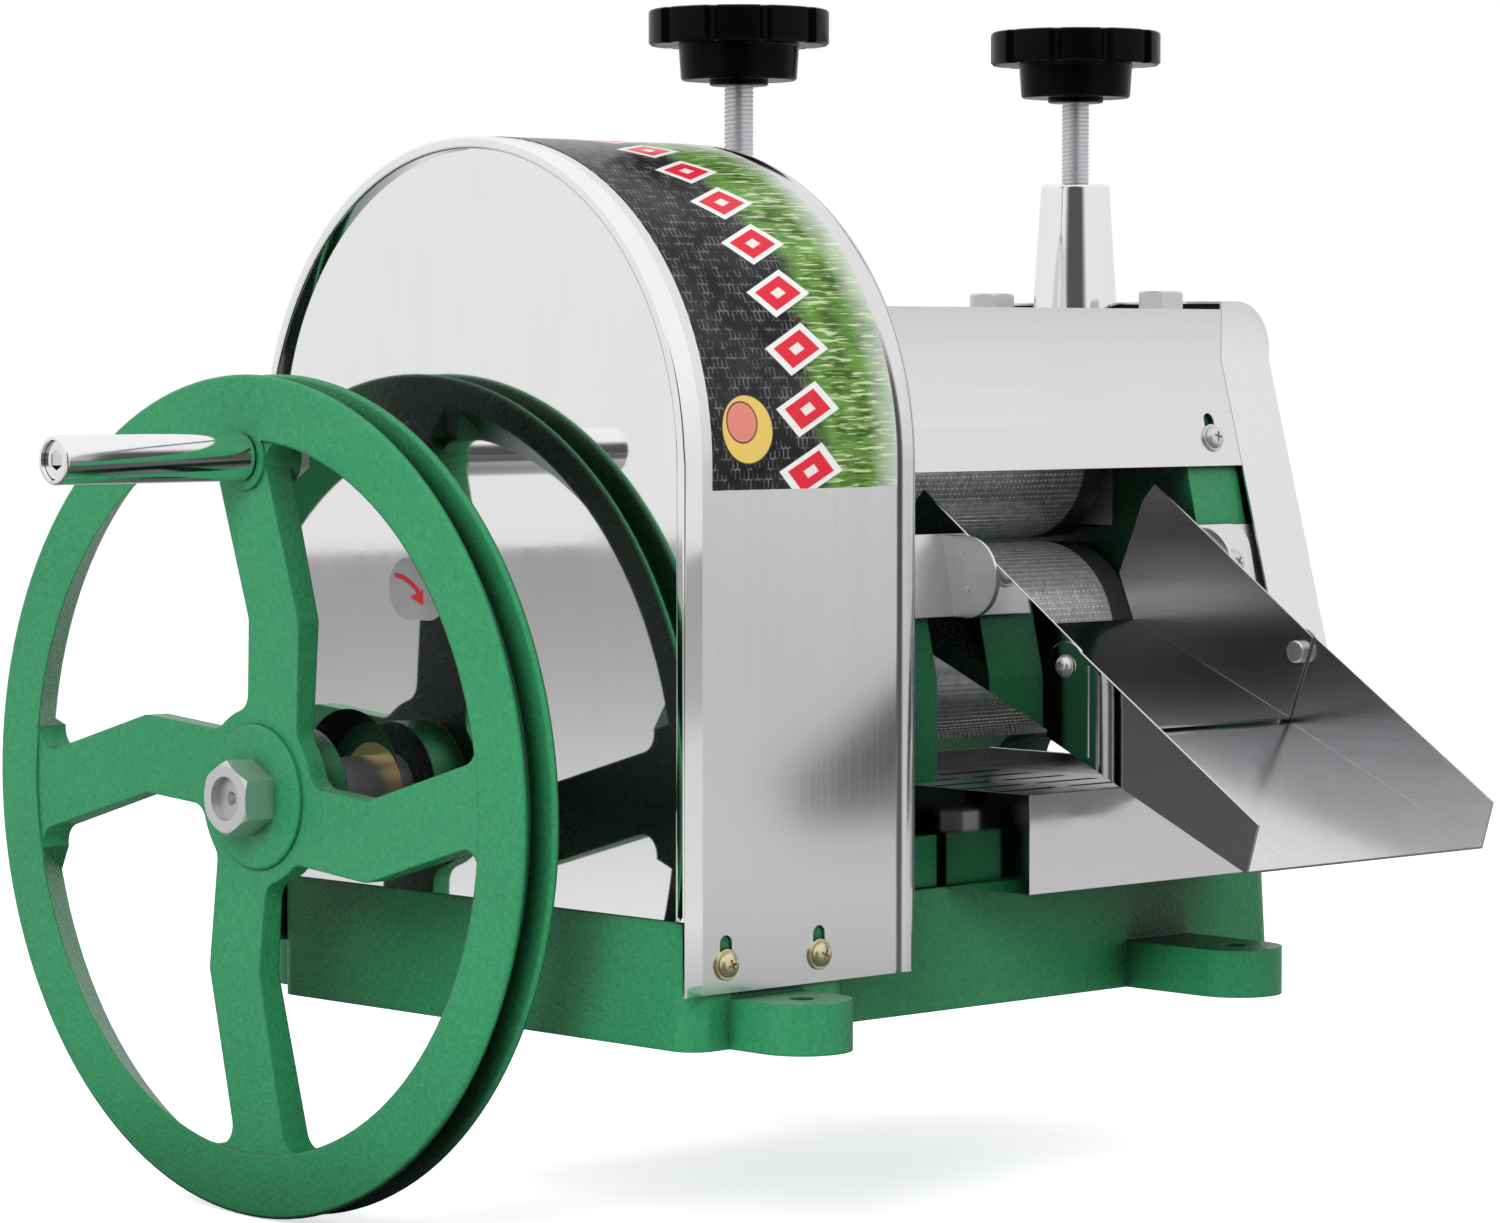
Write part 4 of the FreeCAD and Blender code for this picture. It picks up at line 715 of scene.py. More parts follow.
@dataclass(frozen=True)
class BlackGrip(Finish):
    """Glossy black moulded resin with a faint orange peel."""

    tone: Colour = (0.0015, 0.0015, 0.0018)

    def paint(self, graph: Graph) -> None:
        """Fills the node tree."""
        peel = graph.noise(160.0, 2.0)
        haze = graph.noise(24.0, 3.0)
        graph.feed("Base Color", graph.ramp(haze, (0.3, self.tone), (0.7, scaled(self.tone, 1.6))))
        graph.feed("Roughness", graph.spread(haze, 0.16, 0.28))
        graph.fixed(Specular_IOR_Level=0.06)
        graph.raised(peel, 0.03)


@dataclass(frozen=True)
class PrintedFilm(Finish):
    """Label film: dark woven ground on one side, leaves on the other, and a row of plain red lozenges."""

    length: float = 480.0
    charcoal: Colour = (0.009, 0.009, 0.01)
    leaf: Colour = (0.16, 0.34, 0.07)
    pale_leaf: Colour = (0.62, 0.76, 0.42)
    red: Colour = (0.80, 0.035, 0.06)
    lozenge_pitch: float = 27.0
    lozenge_line: float = 58.0
    lozenge_half: tuple[float, float] = (17.0, 11.0)
    lozenge_lean: float = 0.55
    lozenge_shift: float = 6.0
    lozenge_stop: float = 26.0
    outline: Colour = (0.04, 0.03, 0.03)
    yellow: Colour = (0.86, 0.62, 0.16)
    pink: Colour = (0.82, 0.27, 0.22)
    disc_place: tuple[float, float] = (21.0, 26.0)
    eye_place: tuple[float, float] = (18.0, 29.0)
    soft: float = 0.25

    def paint(self, graph: Graph) -> None:
        """Fills the node tree."""
        flat = graph.add("ShaderNodeUVMap", uv_map="label").outputs["UV"]
        parts = graph.split(flat)
        across, down = parts["X"], parts["Y"]
        ground = self._ground(graph, flat)
        leaves = self._leaves(graph, flat)
        sway = graph.maths("MULTIPLY", graph.noise(0.035, 4.0, flat), 34.0)
        edge = graph.spread(graph.maths("ADD", across, sway), 0.0, 1.0, 76.0, 88.0)
        picture = graph.blended(edge, ground, leaves)
        half_sway = graph.maths("ADD", across, graph.maths("MULTIPLY", sway, 0.5))
        fade = graph.spread(half_sway, 0.0, 0.85, 104.0, 124.0)
        picture = graph.blended(fade, picture, (0.86, 0.88, 0.84))
        picture = self._lozenges(graph, picture, across, down)
        picture = self._roundel(graph, picture, across, down)
        graph.feed("Base Color", picture)
        graph.fixed(Roughness=0.22, Specular_IOR_Level=0.10)

    def _ground(self, graph: Graph, flat: Socket) -> Socket:
        """Dark ground with broken rows of small pale marks."""
        weave = graph.add("ShaderNodeTexBrick", offset=0.5)
        for key, value in (("Scale", 1.0), ("Brick Width", 2.6), ("Row Height", 4.4), ("Mortar Size", 0.42),
                           ("Mortar Smooth", 0.5)):
            weave.inputs[key].default_value = value
        graph.join(flat, weave.inputs["Vector"])
        broken = graph.spread(graph.noise(0.16, 3.0, flat), 0.0, 1.0, 0.46, 0.62)
        marks = graph.maths("MULTIPLY", weave.outputs["Fac"], broken)
        cloud = graph.noise(0.02, 3.0, flat)
        base = graph.ramp(cloud, (0.35, self.charcoal), (0.7, (0.050, 0.050, 0.054)))
        return graph.blended(graph.maths("MULTIPLY", marks, 0.5), base, (0.34, 0.35, 0.34))

    def _leaves(self, graph: Graph, flat: Socket) -> Socket:
        """Crossing narrow blades in several greens."""
        layer = graph.ramp(graph.noise(0.05, 2.0, flat), (0.4, scaled(self.leaf, 0.35)), (0.65, self.leaf))
        for turn, tone, start in ((38.0, self.leaf, 0.52), (-52.0, self.pale_leaf, 0.56),
                                  (8.0, self.pale_leaf, 0.60), (74.0, self.leaf, 0.55)):
            along = graph.mapped((0.055, 0.62, 1.0), (0, 0, turn), (turn, turn, 0), flat)
            blades = graph.noise(1.0, 2.0, along)
            layer = graph.blended(graph.spread(blades, 0.0, 0.9, start, start + 0.07), layer, tone)
        return layer

    def _lozenges(self, graph: Graph, under: Socket, across: Socket,
                  down: Socket) -> Socket:
        """Row of leaning red lozenges with a white edge."""
        step = graph.maths("DIVIDE", graph.maths("ADD", down, self.lozenge_shift), self.lozenge_pitch)
        local = graph.maths("MULTIPLY", graph.maths("SUBTRACT", graph.maths("FRACT", step), 0.5),
                            self.lozenge_pitch)
        side = graph.maths("SUBTRACT", across, self.lozenge_line)
        lean = graph.maths("SUBTRACT", side, graph.maths("MULTIPLY", local, self.lozenge_lean))
        wide, high = (graph.maths("ABSOLUTE", graph.maths("DIVIDE", level, half))
                      for level, half in zip((lean, local), self.lozenge_half))
        off = graph.maths("ADD", wide, high)
        left_over = graph.maths("SUBTRACT", self.length - self.lozenge_stop, down)
        inside = graph.maths("GREATER_THAN", left_over, 0.0)
        layer = under
        for tone, start, end in (((0.92, 0.92, 0.90), 1.10, 1.14), (self.red, 0.80, 0.84),
                                 ((0.90, 0.86, 0.84), 0.24, 0.30)):
            shown = graph.maths("MULTIPLY", inside, graph.spread(off, 1.0, 0.0, start, end))
            layer = graph.blended(shown, layer, tone)
        return layer

    def _roundel(self, graph: Graph, under: Socket, across: Socket,
                 down: Socket) -> Socket:
        """Plain yellow disc with a pink middle near the film's lower corner."""
        layer = under
        for place, radius, tone in ((self.disc_place, 15.5, self.outline), (self.disc_place, 14.6, self.yellow),
                                    (self.eye_place, 9.2, self.outline), (self.eye_place, 8.5, self.pink)):
            off = graph.distance(graph.maths("SUBTRACT", across, place[0]),
                                 graph.maths("SUBTRACT", down, place[1]))
            inside = graph.spread(off, 1.0, 0.0, radius - self.soft, radius + self.soft)
            layer = graph.blended(inside, layer, tone)
        return layer


@dataclass(frozen=True)
class ClearFilm(Finish):
    """Milky adhesive film."""

    tone: Colour = (0.70, 0.70, 0.72)

    def paint(self, graph: Graph) -> None:
        """Fills the node tree."""
        haze = graph.noise(60.0, 2.0)
        graph.feed("Base Color", graph.ramp(haze, (0.3, scaled(self.tone, 0.94)), (0.7, self.tone)))
        graph.fixed(Roughness=0.3, Metallic=0.0, Alpha=0.45, Coat_Weight=0.4)


@dataclass(frozen=True)
class Ink(Finish):
    """Even printing ink with a slight grain."""

    tone: Colour = (0.62, 0.02, 0.025)

    def paint(self, graph: Graph) -> None:
        """Fills the node tree."""
        grain = graph.noise(300.0, 2.0)
        graph.feed("Base Color", graph.ramp(grain, (0.3, scaled(self.tone, 0.85)), (0.7, self.tone)))
        graph.fixed(Roughness=0.35)


ENAMEL = Enamel("green_hammered_enamel")
CASE_SHEET = SheetSteel("case_sheet_steel", Axis.Z, (0.84, 0.84, 0.85), 0.20, 0.04)
HOOD_SHEET = SheetSteel("hood_sheet_steel", Axis.X, (0.80, 0.80, 0.81), 0.16, 0.05)
COVER_SHEET = SheetSteel("cover_sheet_steel", Axis.Z, (0.86, 0.86, 0.87), 0.20, 0.05)
INNER_CHUTE = ChuteSteel("inner_chute_steel", wall_x=12.6)
OUTER_CHUTE = ChuteSteel("outer_chute_steel", (0.74, 0.74, 0.755), wall_x=11.0)
STRAINER_SHEET = SheetSteel("strainer_steel", Axis.Y, (0.60, 0.60, 0.62), 0.14, 0.06)
BRACKET_SHEET = SheetSteel("bracket_sheet_steel", Axis.Z, (0.84, 0.84, 0.85), 0.34, 0.06)
MIRROR = PolishedSteel("mirror_panel_steel", (0.95, 0.95, 0.955), 0.022, 0.02)
TRAY_MIRROR = PolishedSteel("tray_polished_steel", (0.72, 0.72, 0.74), 0.06, 0.08)
POLISHED_BAR = PolishedSteel("polished_bar_steel", (0.94, 0.94, 0.95), 0.05, 0.01)
MACHINED = TurnedSteel("machined_steel", (0.46, 0.46, 0.47), (0.24, 0.24, 0.25))
ZINC = TurnedSteel("bright_zinc", (0.33, 0.34, 0.36), (0.13, 0.14, 0.15), 0.14, 350.0)
YELLOW_ZINC = TurnedSteel("yellow_zinc", (0.72, 0.62, 0.36), (0.50, 0.44, 0.36), 0.20, 300.0)
GEAR_IRON = TurnedSteel("greased_gear_iron", (0.16, 0.155, 0.15), (0.05, 0.048, 0.045), 0.34, 260.0)
BRONZE = TurnedSteel("bearing_bronze", (0.62, 0.42, 0.17), (0.42, 0.27, 0.10), 0.26, 300.0)
# Lit copy of the roller colours for the brightly lit lower roller: a stronger painted highlight on the ribs,
# paler painted shade in the grooves, and less metal so that its colour catches the lamps.
BRIGHT_LIT_GROOVE_SHADE = (0.22, 0.22, 0.23)
BRIGHT_LIT_RIB = (0.98, 0.98, 0.98)
BRIGHT_LIT_METAL = 0.35
GRIP = BlackGrip("black_grip")
FILM = ClearFilm("milky_film")
RED_INK = Ink("red_ink")


# ---- fasteners ----------------------------------------------------------------------------------


@dataclass
class HexBolt:
    """Hexagon-headed bolt with a chamfered head."""

    across_flats: float
    head_high: float
    shank_r: float
    shank_long: float

    def build(self) -> bpy.types.Object:
        """Models the bolt at the origin, its head's seat at z 0 and its head upward.

        Returns:
            The bolt.
        """
        corner = self.across_flats / math.sqrt(3)
        head = turned("bolt_head", Axis.Z, Vector(), [(0.0, corner), (self.head_high, corner)], 6)
        crown = [(-1.0, corner * 1.1), (self.head_high * 0.72, corner * 1.1),
                 (self.head_high + 0.01, self.across_flats * 0.47)]
        carve(head, turned("crown", Axis.Z, Vector(), crown, 48), "INTERSECT")
        shank = turned("shank", Axis.Z, Vector(),
                       [(-self.shank_long, self.shank_r * 0.85), (1.0 - self.shank_long, self.shank_r),
                        (0.5, self.shank_r)], 24)
        bolt = joined("bolt", [head, shank])
        smooth(bolt)
        return bolt


@dataclass
class PanScrew:
    """Pan-head screw with a cross recess and a plain washer."""

    head_r: float = 5.4
    washer_r: float = 6.8
    washer_high: float = 1.2
    shank_r: float = 3.0
    shank_long: float = 11.5
    recess_long: float = 5.2
    recess_wide: float = 1.15
    dome_high: ClassVar[float] = 3.2

    @property
    def high(self) -> float:
        """Height of washer and head."""
        return self.washer_high + self.dome_high

    def build(self) -> bpy.types.Object:
        """Models the screw at the origin, its washer's seat at z 0 and its head upward.

        Returns:
            The screw.
        """
        top = self.washer_high
        rings = [(-self.shank_long, self.shank_r * 0.7), (1.0 - self.shank_long, self.shank_r),
                 (0.0, self.shank_r), (0.0, self.washer_r), (top * 0.75, self.washer_r),
                 (top, self.washer_r - 0.3), (top, self.head_r * 0.93), (top + 0.45, self.head_r),
                 (top + 1.3, self.head_r * 0.97), (top + 2.3, self.head_r * 0.82),
                 (top + 2.9, self.head_r * 0.6), (top + 3.15, self.head_r * 0.3)]
        screw = turned("pan_screw", Axis.Z, Vector(), rings, 32)
        for long, wide in ((self.recess_long, self.recess_wide), (self.recess_wide, self.recess_long)):
            low = Vector((-long / 2, -wide / 2, top + 1.2))
            carve(screw, block("recess", low, Vector((long / 2, wide / 2, top + 5.0))))
        smooth(screw, 30.0)
        return screw


# ---- castings -----------------------------------------------------------------------------------


@dataclass
class Castings:
    """Green castings: base, side frames, their caps and the shaft pedestal."""

    rounding: float = 1.6

    def build(self) -> None:
        """Rounds the side frames' edges and coats every casting."""
        base = from_node("base_casting")
        smooth(base)
        hand_over(base, ENAMEL, "base_casting")
        for node in ("left_side_frame", "right_side_frame"):
            piece = from_node(node, self.rounding, 3)
            smooth(piece)
            hand_over(piece, ENAMEL, node)
        coat(ENAMEL, "left_frame_cap", "right_frame_cap", "shaft_pedestal")


@dataclass
class Handwheel:
    """Handwheel with its nut and crank handle."""

    rounding: float = 1.8
    hub_rounding: float = 1.4
    rim_r: float = 186.0
    disc_r: float = 33.0
    disc_deep: float = 4.2
    rim_inner_r: float = 161.0
    rim_back_r: float = 177.0
    rim_wide: float = 21.5
    boss_r: float = 15.4

    def build(self) -> None:
        """Rounds the wheel's edges and coats the wheel and what is fastened to it."""
        low, high = span("handwheel")
        middle = (low + high) / 2

        def off_axis(place: Vector) -> float:
            """Distance from the wheel's axis."""
            return math.hypot(place.y - middle.y, place.z - middle.z)

        handle_low, handle_high = span("handle_sleeve")
        handle = (handle_low + handle_high) / 2

        def at_rim_back(place: Vector) -> bool:
            """True on the rim's inner edge at its back, away from the handle's boss."""
            on_edge = abs(off_axis(place) - self.rim_inner_r) < 0.3
            at_back = abs(place.x - low.x - self.rim_wide) < 0.1
            return on_edge and at_back and math.hypot(place.y - handle.y, place.z - handle.z) > self.boss_r

        wheel = from_node("handwheel")
        with editing(wheel):
            pick(wheel, at_rim_back)
            share = self.rim_back_r / self.rim_inner_r
            bpy.ops.transform.resize(value=(1.0, share, share), center_override=middle * MM)
        round_edges(wheel, self.rounding, lambda place: off_axis(place) > self.rim_r)
        round_edges(wheel, self.hub_rounding,
                    lambda place: abs(off_axis(place) - self.disc_r) < 0.1 and place.x < low.x + self.disc_deep)
        smooth(wheel)
        hand_over(wheel, ENAMEL, "handwheel")
        nut = from_node("wheel_nut", 0.5, 2)
        smooth(nut)
        hand_over(nut, ZINC, "wheel_nut")
        coat(ZINC, "handle_nut")
        coat(POLISHED_BAR, "handle_sleeve", "handle_bolt")
        coat(MACHINED, "drive_shaft", "drive_shaft_keys", "shaft_collar")


# ---- gear case ----------------------------------------------------------------------------------


@dataclass
class GearCase:
    """Case over the gears: bent wrap, polished side panel, back panel, screws and films."""

    edge: float = 0.3
    bead_round: float = 1.7
    rim_wide: float = 12.0
    rim_arc_r: float = 6.7
    rim_steps: int = 8
    rim_deep: float = 1.4
    tail_z: float = 57.6
    arrow_wide: float = 2.2
    arrow_bends: tuple[tuple[float, float], ...] = ((-1.5, 0.0), (4.0, 3.6), (9.5, 6.0), (15.5, 7.2))
    arrow_tip: tuple[float, float] = (-4.0, -3.6)
    arrow_head_r: float = 6.2
    label_steps: int = 72
    film_high: float = 0.25

    def build(self) -> None:
        """Builds the case's sheets, screws and films."""
        wrap = from_node("gear_case_wrap", self.edge)
        smooth(wrap)
        hand_over(wrap, CASE_SHEET, "gear_case_wrap")
        self._side_panel()
        self._back_panel()
        self._screws()
        self._label()
        self._arrow()
        coat(MACHINED, "case_spacers")
        coat(FILM, "turning_sticker")

    def _side_panel(self) -> None:
        """Rounds the side panel's bead along its outer face, above the base's top."""
        node = "gear_case_side_panel"
        face_x = span(node)[0].x
        panel = from_node(node)
        with editing(panel):
            bpy.ops.mesh.select_all(action="SELECT")
            bpy.ops.mesh.bisect(plane_co=(0, 0, self.tail_z * MM), plane_no=(0, 0, 1))
            pick(panel, lambda place: abs(place.x - face_x) < 0.05 and place.z > self.tail_z - 0.01)
            bpy.ops.mesh.bevel(offset=self.bead_round * MM, segments=4, affect="EDGES", clamp_overlap=True)
        smooth(panel)
        hand_over(panel, MIRROR, node)

    def _back_panel(self) -> None:
        """Rolls the back panel's rim into a bead, ring by ring across its width."""
        node = "gear_case_back_panel"
        low, high = span(node)
        radius = high.y
        centre = Vector((0, 0, high.z - radius))
        middle = high.x - self.rim_wide / 2
        panel = from_node(node)
        rings = [high.x - self.rim_wide * i / self.rim_steps for i in range(self.rim_steps + 1)]
        with editing(panel):
            for x in rings[1:-1]:
                bpy.ops.mesh.select_all(action="SELECT")
                bpy.ops.mesh.bisect(plane_co=(x * MM, 0, 0), plane_no=(1, 0, 0))
            for x in rings:
                sag = self.rim_arc_r - math.sqrt(self.rim_arc_r ** 2 - (x - middle) ** 2)
                share = 1.0 - sag / radius

                def on_ring(place: Vector, upper: bool, x: float = x) -> bool:
                    """True for a point of the rim on this ring, above or below the arc's centre."""
                    off = math.hypot(place.y, place.z - centre.z) if upper else abs(place.y)
                    on_x = abs(place.x - x) < 0.05
                    return on_x and off > radius - self.rim_deep and (place.z > centre.z + 0.01) == upper

                if pick(panel, lambda place: on_ring(place, True)):
                    bpy.ops.transform.resize(value=(1.0, share, share), center_override=centre * MM)
                if pick(panel, lambda place: on_ring(place, False)):
                    bpy.ops.transform.resize(value=(1.0, share, 1.0), center_override=centre * MM)
        smooth(panel)
        hand_over(panel, HOOD_SHEET, node)

    def _screws(self) -> None:
        """Puts the four screws back in their slots."""
        low, high = span("case_screws")
        screw = PanScrew()
        middle_z = (low.z + high.z) / 2
        seats = []
        face = high.y - screw.high
        for x, turn in ((low.x + screw.washer_r, 20.0), (high.x - screw.washer_r, 65.0)):
            for side in (-1, 1):
                seats.append(seat(Vector((x, side * face, middle_z)), Vector((0, side, 0)), turn))
        hand_over(repeated("case_screws_dressed", screw.build(), seats), YELLOW_ZINC, "case_screws")

    def _label(self) -> None:
        """Lays the printed film up the front and over the crown, with coordinates of its own."""
        low, high = span("case_label")
        radius = high.y
        rise = high.z - radius
        line = [Vector((low.x, -radius, low.z))]
        for i in range(self.label_steps + 1):
            turn = math.pi * i / self.label_steps
            line.append(Vector((low.x, -radius * math.cos(turn), rise + radius * math.sin(turn))))
        label = drawn_out(polyline("case_label_dressed", line), Vector((high.x - low.x, 0, 0)))
        flat = label.data.uv_layers.new(name="label")
        for loop in label.data.loops:
            place = label.data.vertices[loop.vertex_index].co / MM
            along = place.z - low.z
            if place.z > rise:
                along = rise - low.z + radius * math.atan2(place.z - rise, -place.y)
            flat.data[loop.index].uv = (place.x - low.x, along)
        apply_modifier(label, "SOLIDIFY", thickness=self.film_high * MM, offset=-1.0)
        smooth(label)
        film = PrintedFilm("printed_case_film", rise - low.z + math.pi * radius)
        hand_over(label, film, "case_label")

    def _arrow(self) -> None:
        """Draws the red turning arrow on the round film."""
        low, high = span("turning_sticker")
        middle = (low + high) / 2
        face = low.x - 0.02
        line = [Vector((face, middle.y + y, middle.z + z)) for y, z in self.arrow_bends]
        shaft = drawn_out(polyline("arrow_shaft", line), Vector((0, 1.0, -self.arrow_wide)))
        bpy.ops.object.select_all(action="DESELECT")
        tip = Vector((face, middle.y + self.arrow_tip[0], middle.z + self.arrow_tip[1]))
        bpy.ops.mesh.primitive_circle_add(vertices=3, radius=self.arrow_head_r * MM, fill_type="NGON",
                                          location=tip * MM,
                                          rotation=(math.radians(-35), math.radians(90), 0))
        head = adopt("arrow_head")
        arrow = joined("turning_arrow", [shaft, head])
        arrow.data.materials.append(RED_INK.material())
        apply_modifier(arrow, "SOLIDIFY", thickness=0.04 * MM, offset=0.0)
        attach(arrow, BODY_OF["turning_sticker"])


# ---- sheets over and before the rollers ---------------------------------------------------------


@dataclass
class Sheets:
    """Hood, right-hand cover, chutes, brackets and juice tray."""

    edge: float = 0.32
    tab_x: float = 10.5
    spots: tuple[tuple[float, float], ...] = (
        (-112.6, 207.6), (-101.8, 197.3), (-115.8, 190.9), (-105.0, 184.6))
    spot_r: float = 1.5
    creases: tuple[tuple[float, float, float, float], ...] = (
        (-190.6, 118.4, 159.6, 1.3), (-197.0, 115.2, 155.4, 0.8))

    def build(self) -> None:
        """Softens each sheet's edges and gives it its grain."""
        for node, finish in (("hood", HOOD_SHEET), ("right_cover", COVER_SHEET), ("chute_inner", INNER_CHUTE),
                             ("bracket_backing_plates", BRACKET_SHEET), ("juice_tray", TRAY_MIRROR)):
            piece = from_node(node, self.edge)
            smooth(piece)
            hand_over(piece, finish, node)
        self._brackets()
        self._outer_chute()
        coat(STRAINER_SHEET, "tray_strainer")

    def _brackets(self) -> None:
        """Puts the spot welds on the brackets' round tabs."""
        low, high = span("chute_brackets")
        brackets = from_node("chute_brackets", self.edge)
        spots = []
        for x, way in ((self.tab_x, -1), (low.x + high.x - self.tab_x, 1)):
            for y, z in self.spots:
                spots.append(seat(Vector((x, y, z)), Vector((way, 0, 0))))
        rings = [(-0.3, self.spot_r), (0.12, self.spot_r), (0.3, self.spot_r * 0.55),
                 (0.16, self.spot_r * 0.3)]
        spot = turned("spot", Axis.Z, Vector(), rings, 16)
        piece = joined("chute_brackets_dressed", [brackets, repeated("spots", spot, spots)])
        smooth(piece)
        hand_over(piece, BRACKET_SHEET, "chute_brackets")

    def _outer_chute(self) -> None:
        """Puts the pressed creases on the folding chute's left wall."""
        low = span("chute_outer")[0]
        chute = from_node("chute_outer", self.edge)
        creases = []
        for y, foot, top, wide in self.creases:
            crease = block("crease", Vector((low.x - 0.35, y - wide / 2, foot)),
                           Vector((low.x + 0.5, y + wide / 2, top)))
            soften(crease, wide * 0.3, 3)
            creases.append(crease)
        piece = joined("chute_outer_dressed", [chute, *creases])
        smooth(piece)
        hand_over(piece, OUTER_CHUTE, "chute_outer")


@dataclass
class SheetFasteners:
    """Screws, bolts and rivets that hold the sheets."""

    hood_slope: float = 0.274
    frame_slope: float = 0.2277
    cap_flats: float = 21.0
    cap_head: float = 8.8
    cap_shank_r: float = 7.0
    pivot_head: float = 3.5
    pivot_wall: float = 3.2
    pivot_chamfer: float = 0.6
    pivot_shank_r: float = 3.0

    def build(self) -> None:
        """Puts the fasteners back at the construction's places."""
        self._sloped("hood_screws", self.hood_slope, 35.0)
        self._sloped("bracket_screws", self.frame_slope, 10.0)
        low, high = span("cap_bolts")
        bolt = HexBolt(self.cap_flats, self.cap_head, self.cap_shank_r, high.z - low.z - self.cap_head)
        corner = self.cap_flats / math.sqrt(3)
        half = self.cap_flats / 2
        xs = (low.x + corner, high.x - corner)
        ys = (low.y + half, high.y - half)
        seats = [seat(Vector((x, y, high.z - self.cap_head)), Vector((0, 0, 1)), 7.0 * i)
                 for i, (x, y) in enumerate((x, y) for x in xs for y in ys)]
        hand_over(repeated("cap_bolts_dressed", bolt.build(), seats), ZINC, "cap_bolts")
        coat(ZINC, "frame_foot_bolts", "pedestal_bolts", "tie_rod_nuts", "cover_screws")
        coat(MACHINED, "tie_rods", "cover_standoffs")
        self._pivots()

    def _pivots(self) -> None:
        """Puts a cross-recessed screw at the folding chute's left pivot and a plain rivet at the right."""
        low, high = span("chute_rivets")
        middle = (low + high) / 2
        centre = Vector((0, middle.y, middle.z))
        head, wall, bevel, rim_r = self.pivot_head, self.pivot_wall, self.pivot_chamfer, (high.z - low.z) / 2
        screw = PanScrew(head_r=4.4, washer_r=rim_r, washer_high=head - PanScrew.dome_high,
                         shank_long=wall + 1.0, recess_long=4.4)
        place = seat(Vector((low.x + head, middle.y, middle.z)), Vector((-1, 0, 0)), 25.0)
        left = repeated("left_pivot", screw.build(), [place])
        inner = low.x + head + wall
        rings = [(inner, rim_r), (inner + head - bevel, rim_r), (inner + head, rim_r - bevel)]
        nut = turned("left_rivet", Axis.X, centre, rings, 32)
        start = high.x - 2 * head - wall
        rings = [(start, rim_r - bevel), (start + bevel, rim_r), (start + head, rim_r),
                 (start + head, self.pivot_shank_r), (high.x - head, self.pivot_shank_r),
                 (high.x - head, rim_r), (high.x - bevel, rim_r), (high.x, rim_r - bevel)]
        right = turned("right_rivet", Axis.X, centre, rings, 32)
        piece = joined("chute_rivets_dressed", [left, nut, right])
        smooth(piece, 30.0)
        hand_over(piece, BRACKET_SHEET, "chute_rivets")

    def _sloped(self, node: str, slope: float, turn: float) -> None:
        """Puts a pair of screws back on a sloping front.

        Args:
            node: Node of the pair.
            slope: Run of the front over its rise.
            turn: Turn of the first screw's recess, in degrees.
        """
        low, high = span(node)
        screw = PanScrew()
        out = Vector((0, -1, slope)).normalized()
        up = Vector((0, slope, 1)).normalized()
        face = reach(node, out)[1] - screw.high
        middle = sum(reach(node, up)) / 2
        seats = [seat(Vector((x, 0, 0)) + out * face + up * middle, out, turn + extra)
                 for x, extra in ((low.x + screw.washer_r, 0.0), (high.x - screw.washer_r, 40.0))]
        hand_over(repeated(node + "_dressed", screw.build(), seats), ZINC, node)


# ---- rollers, screws and knobs ------------------------------------------------------------------


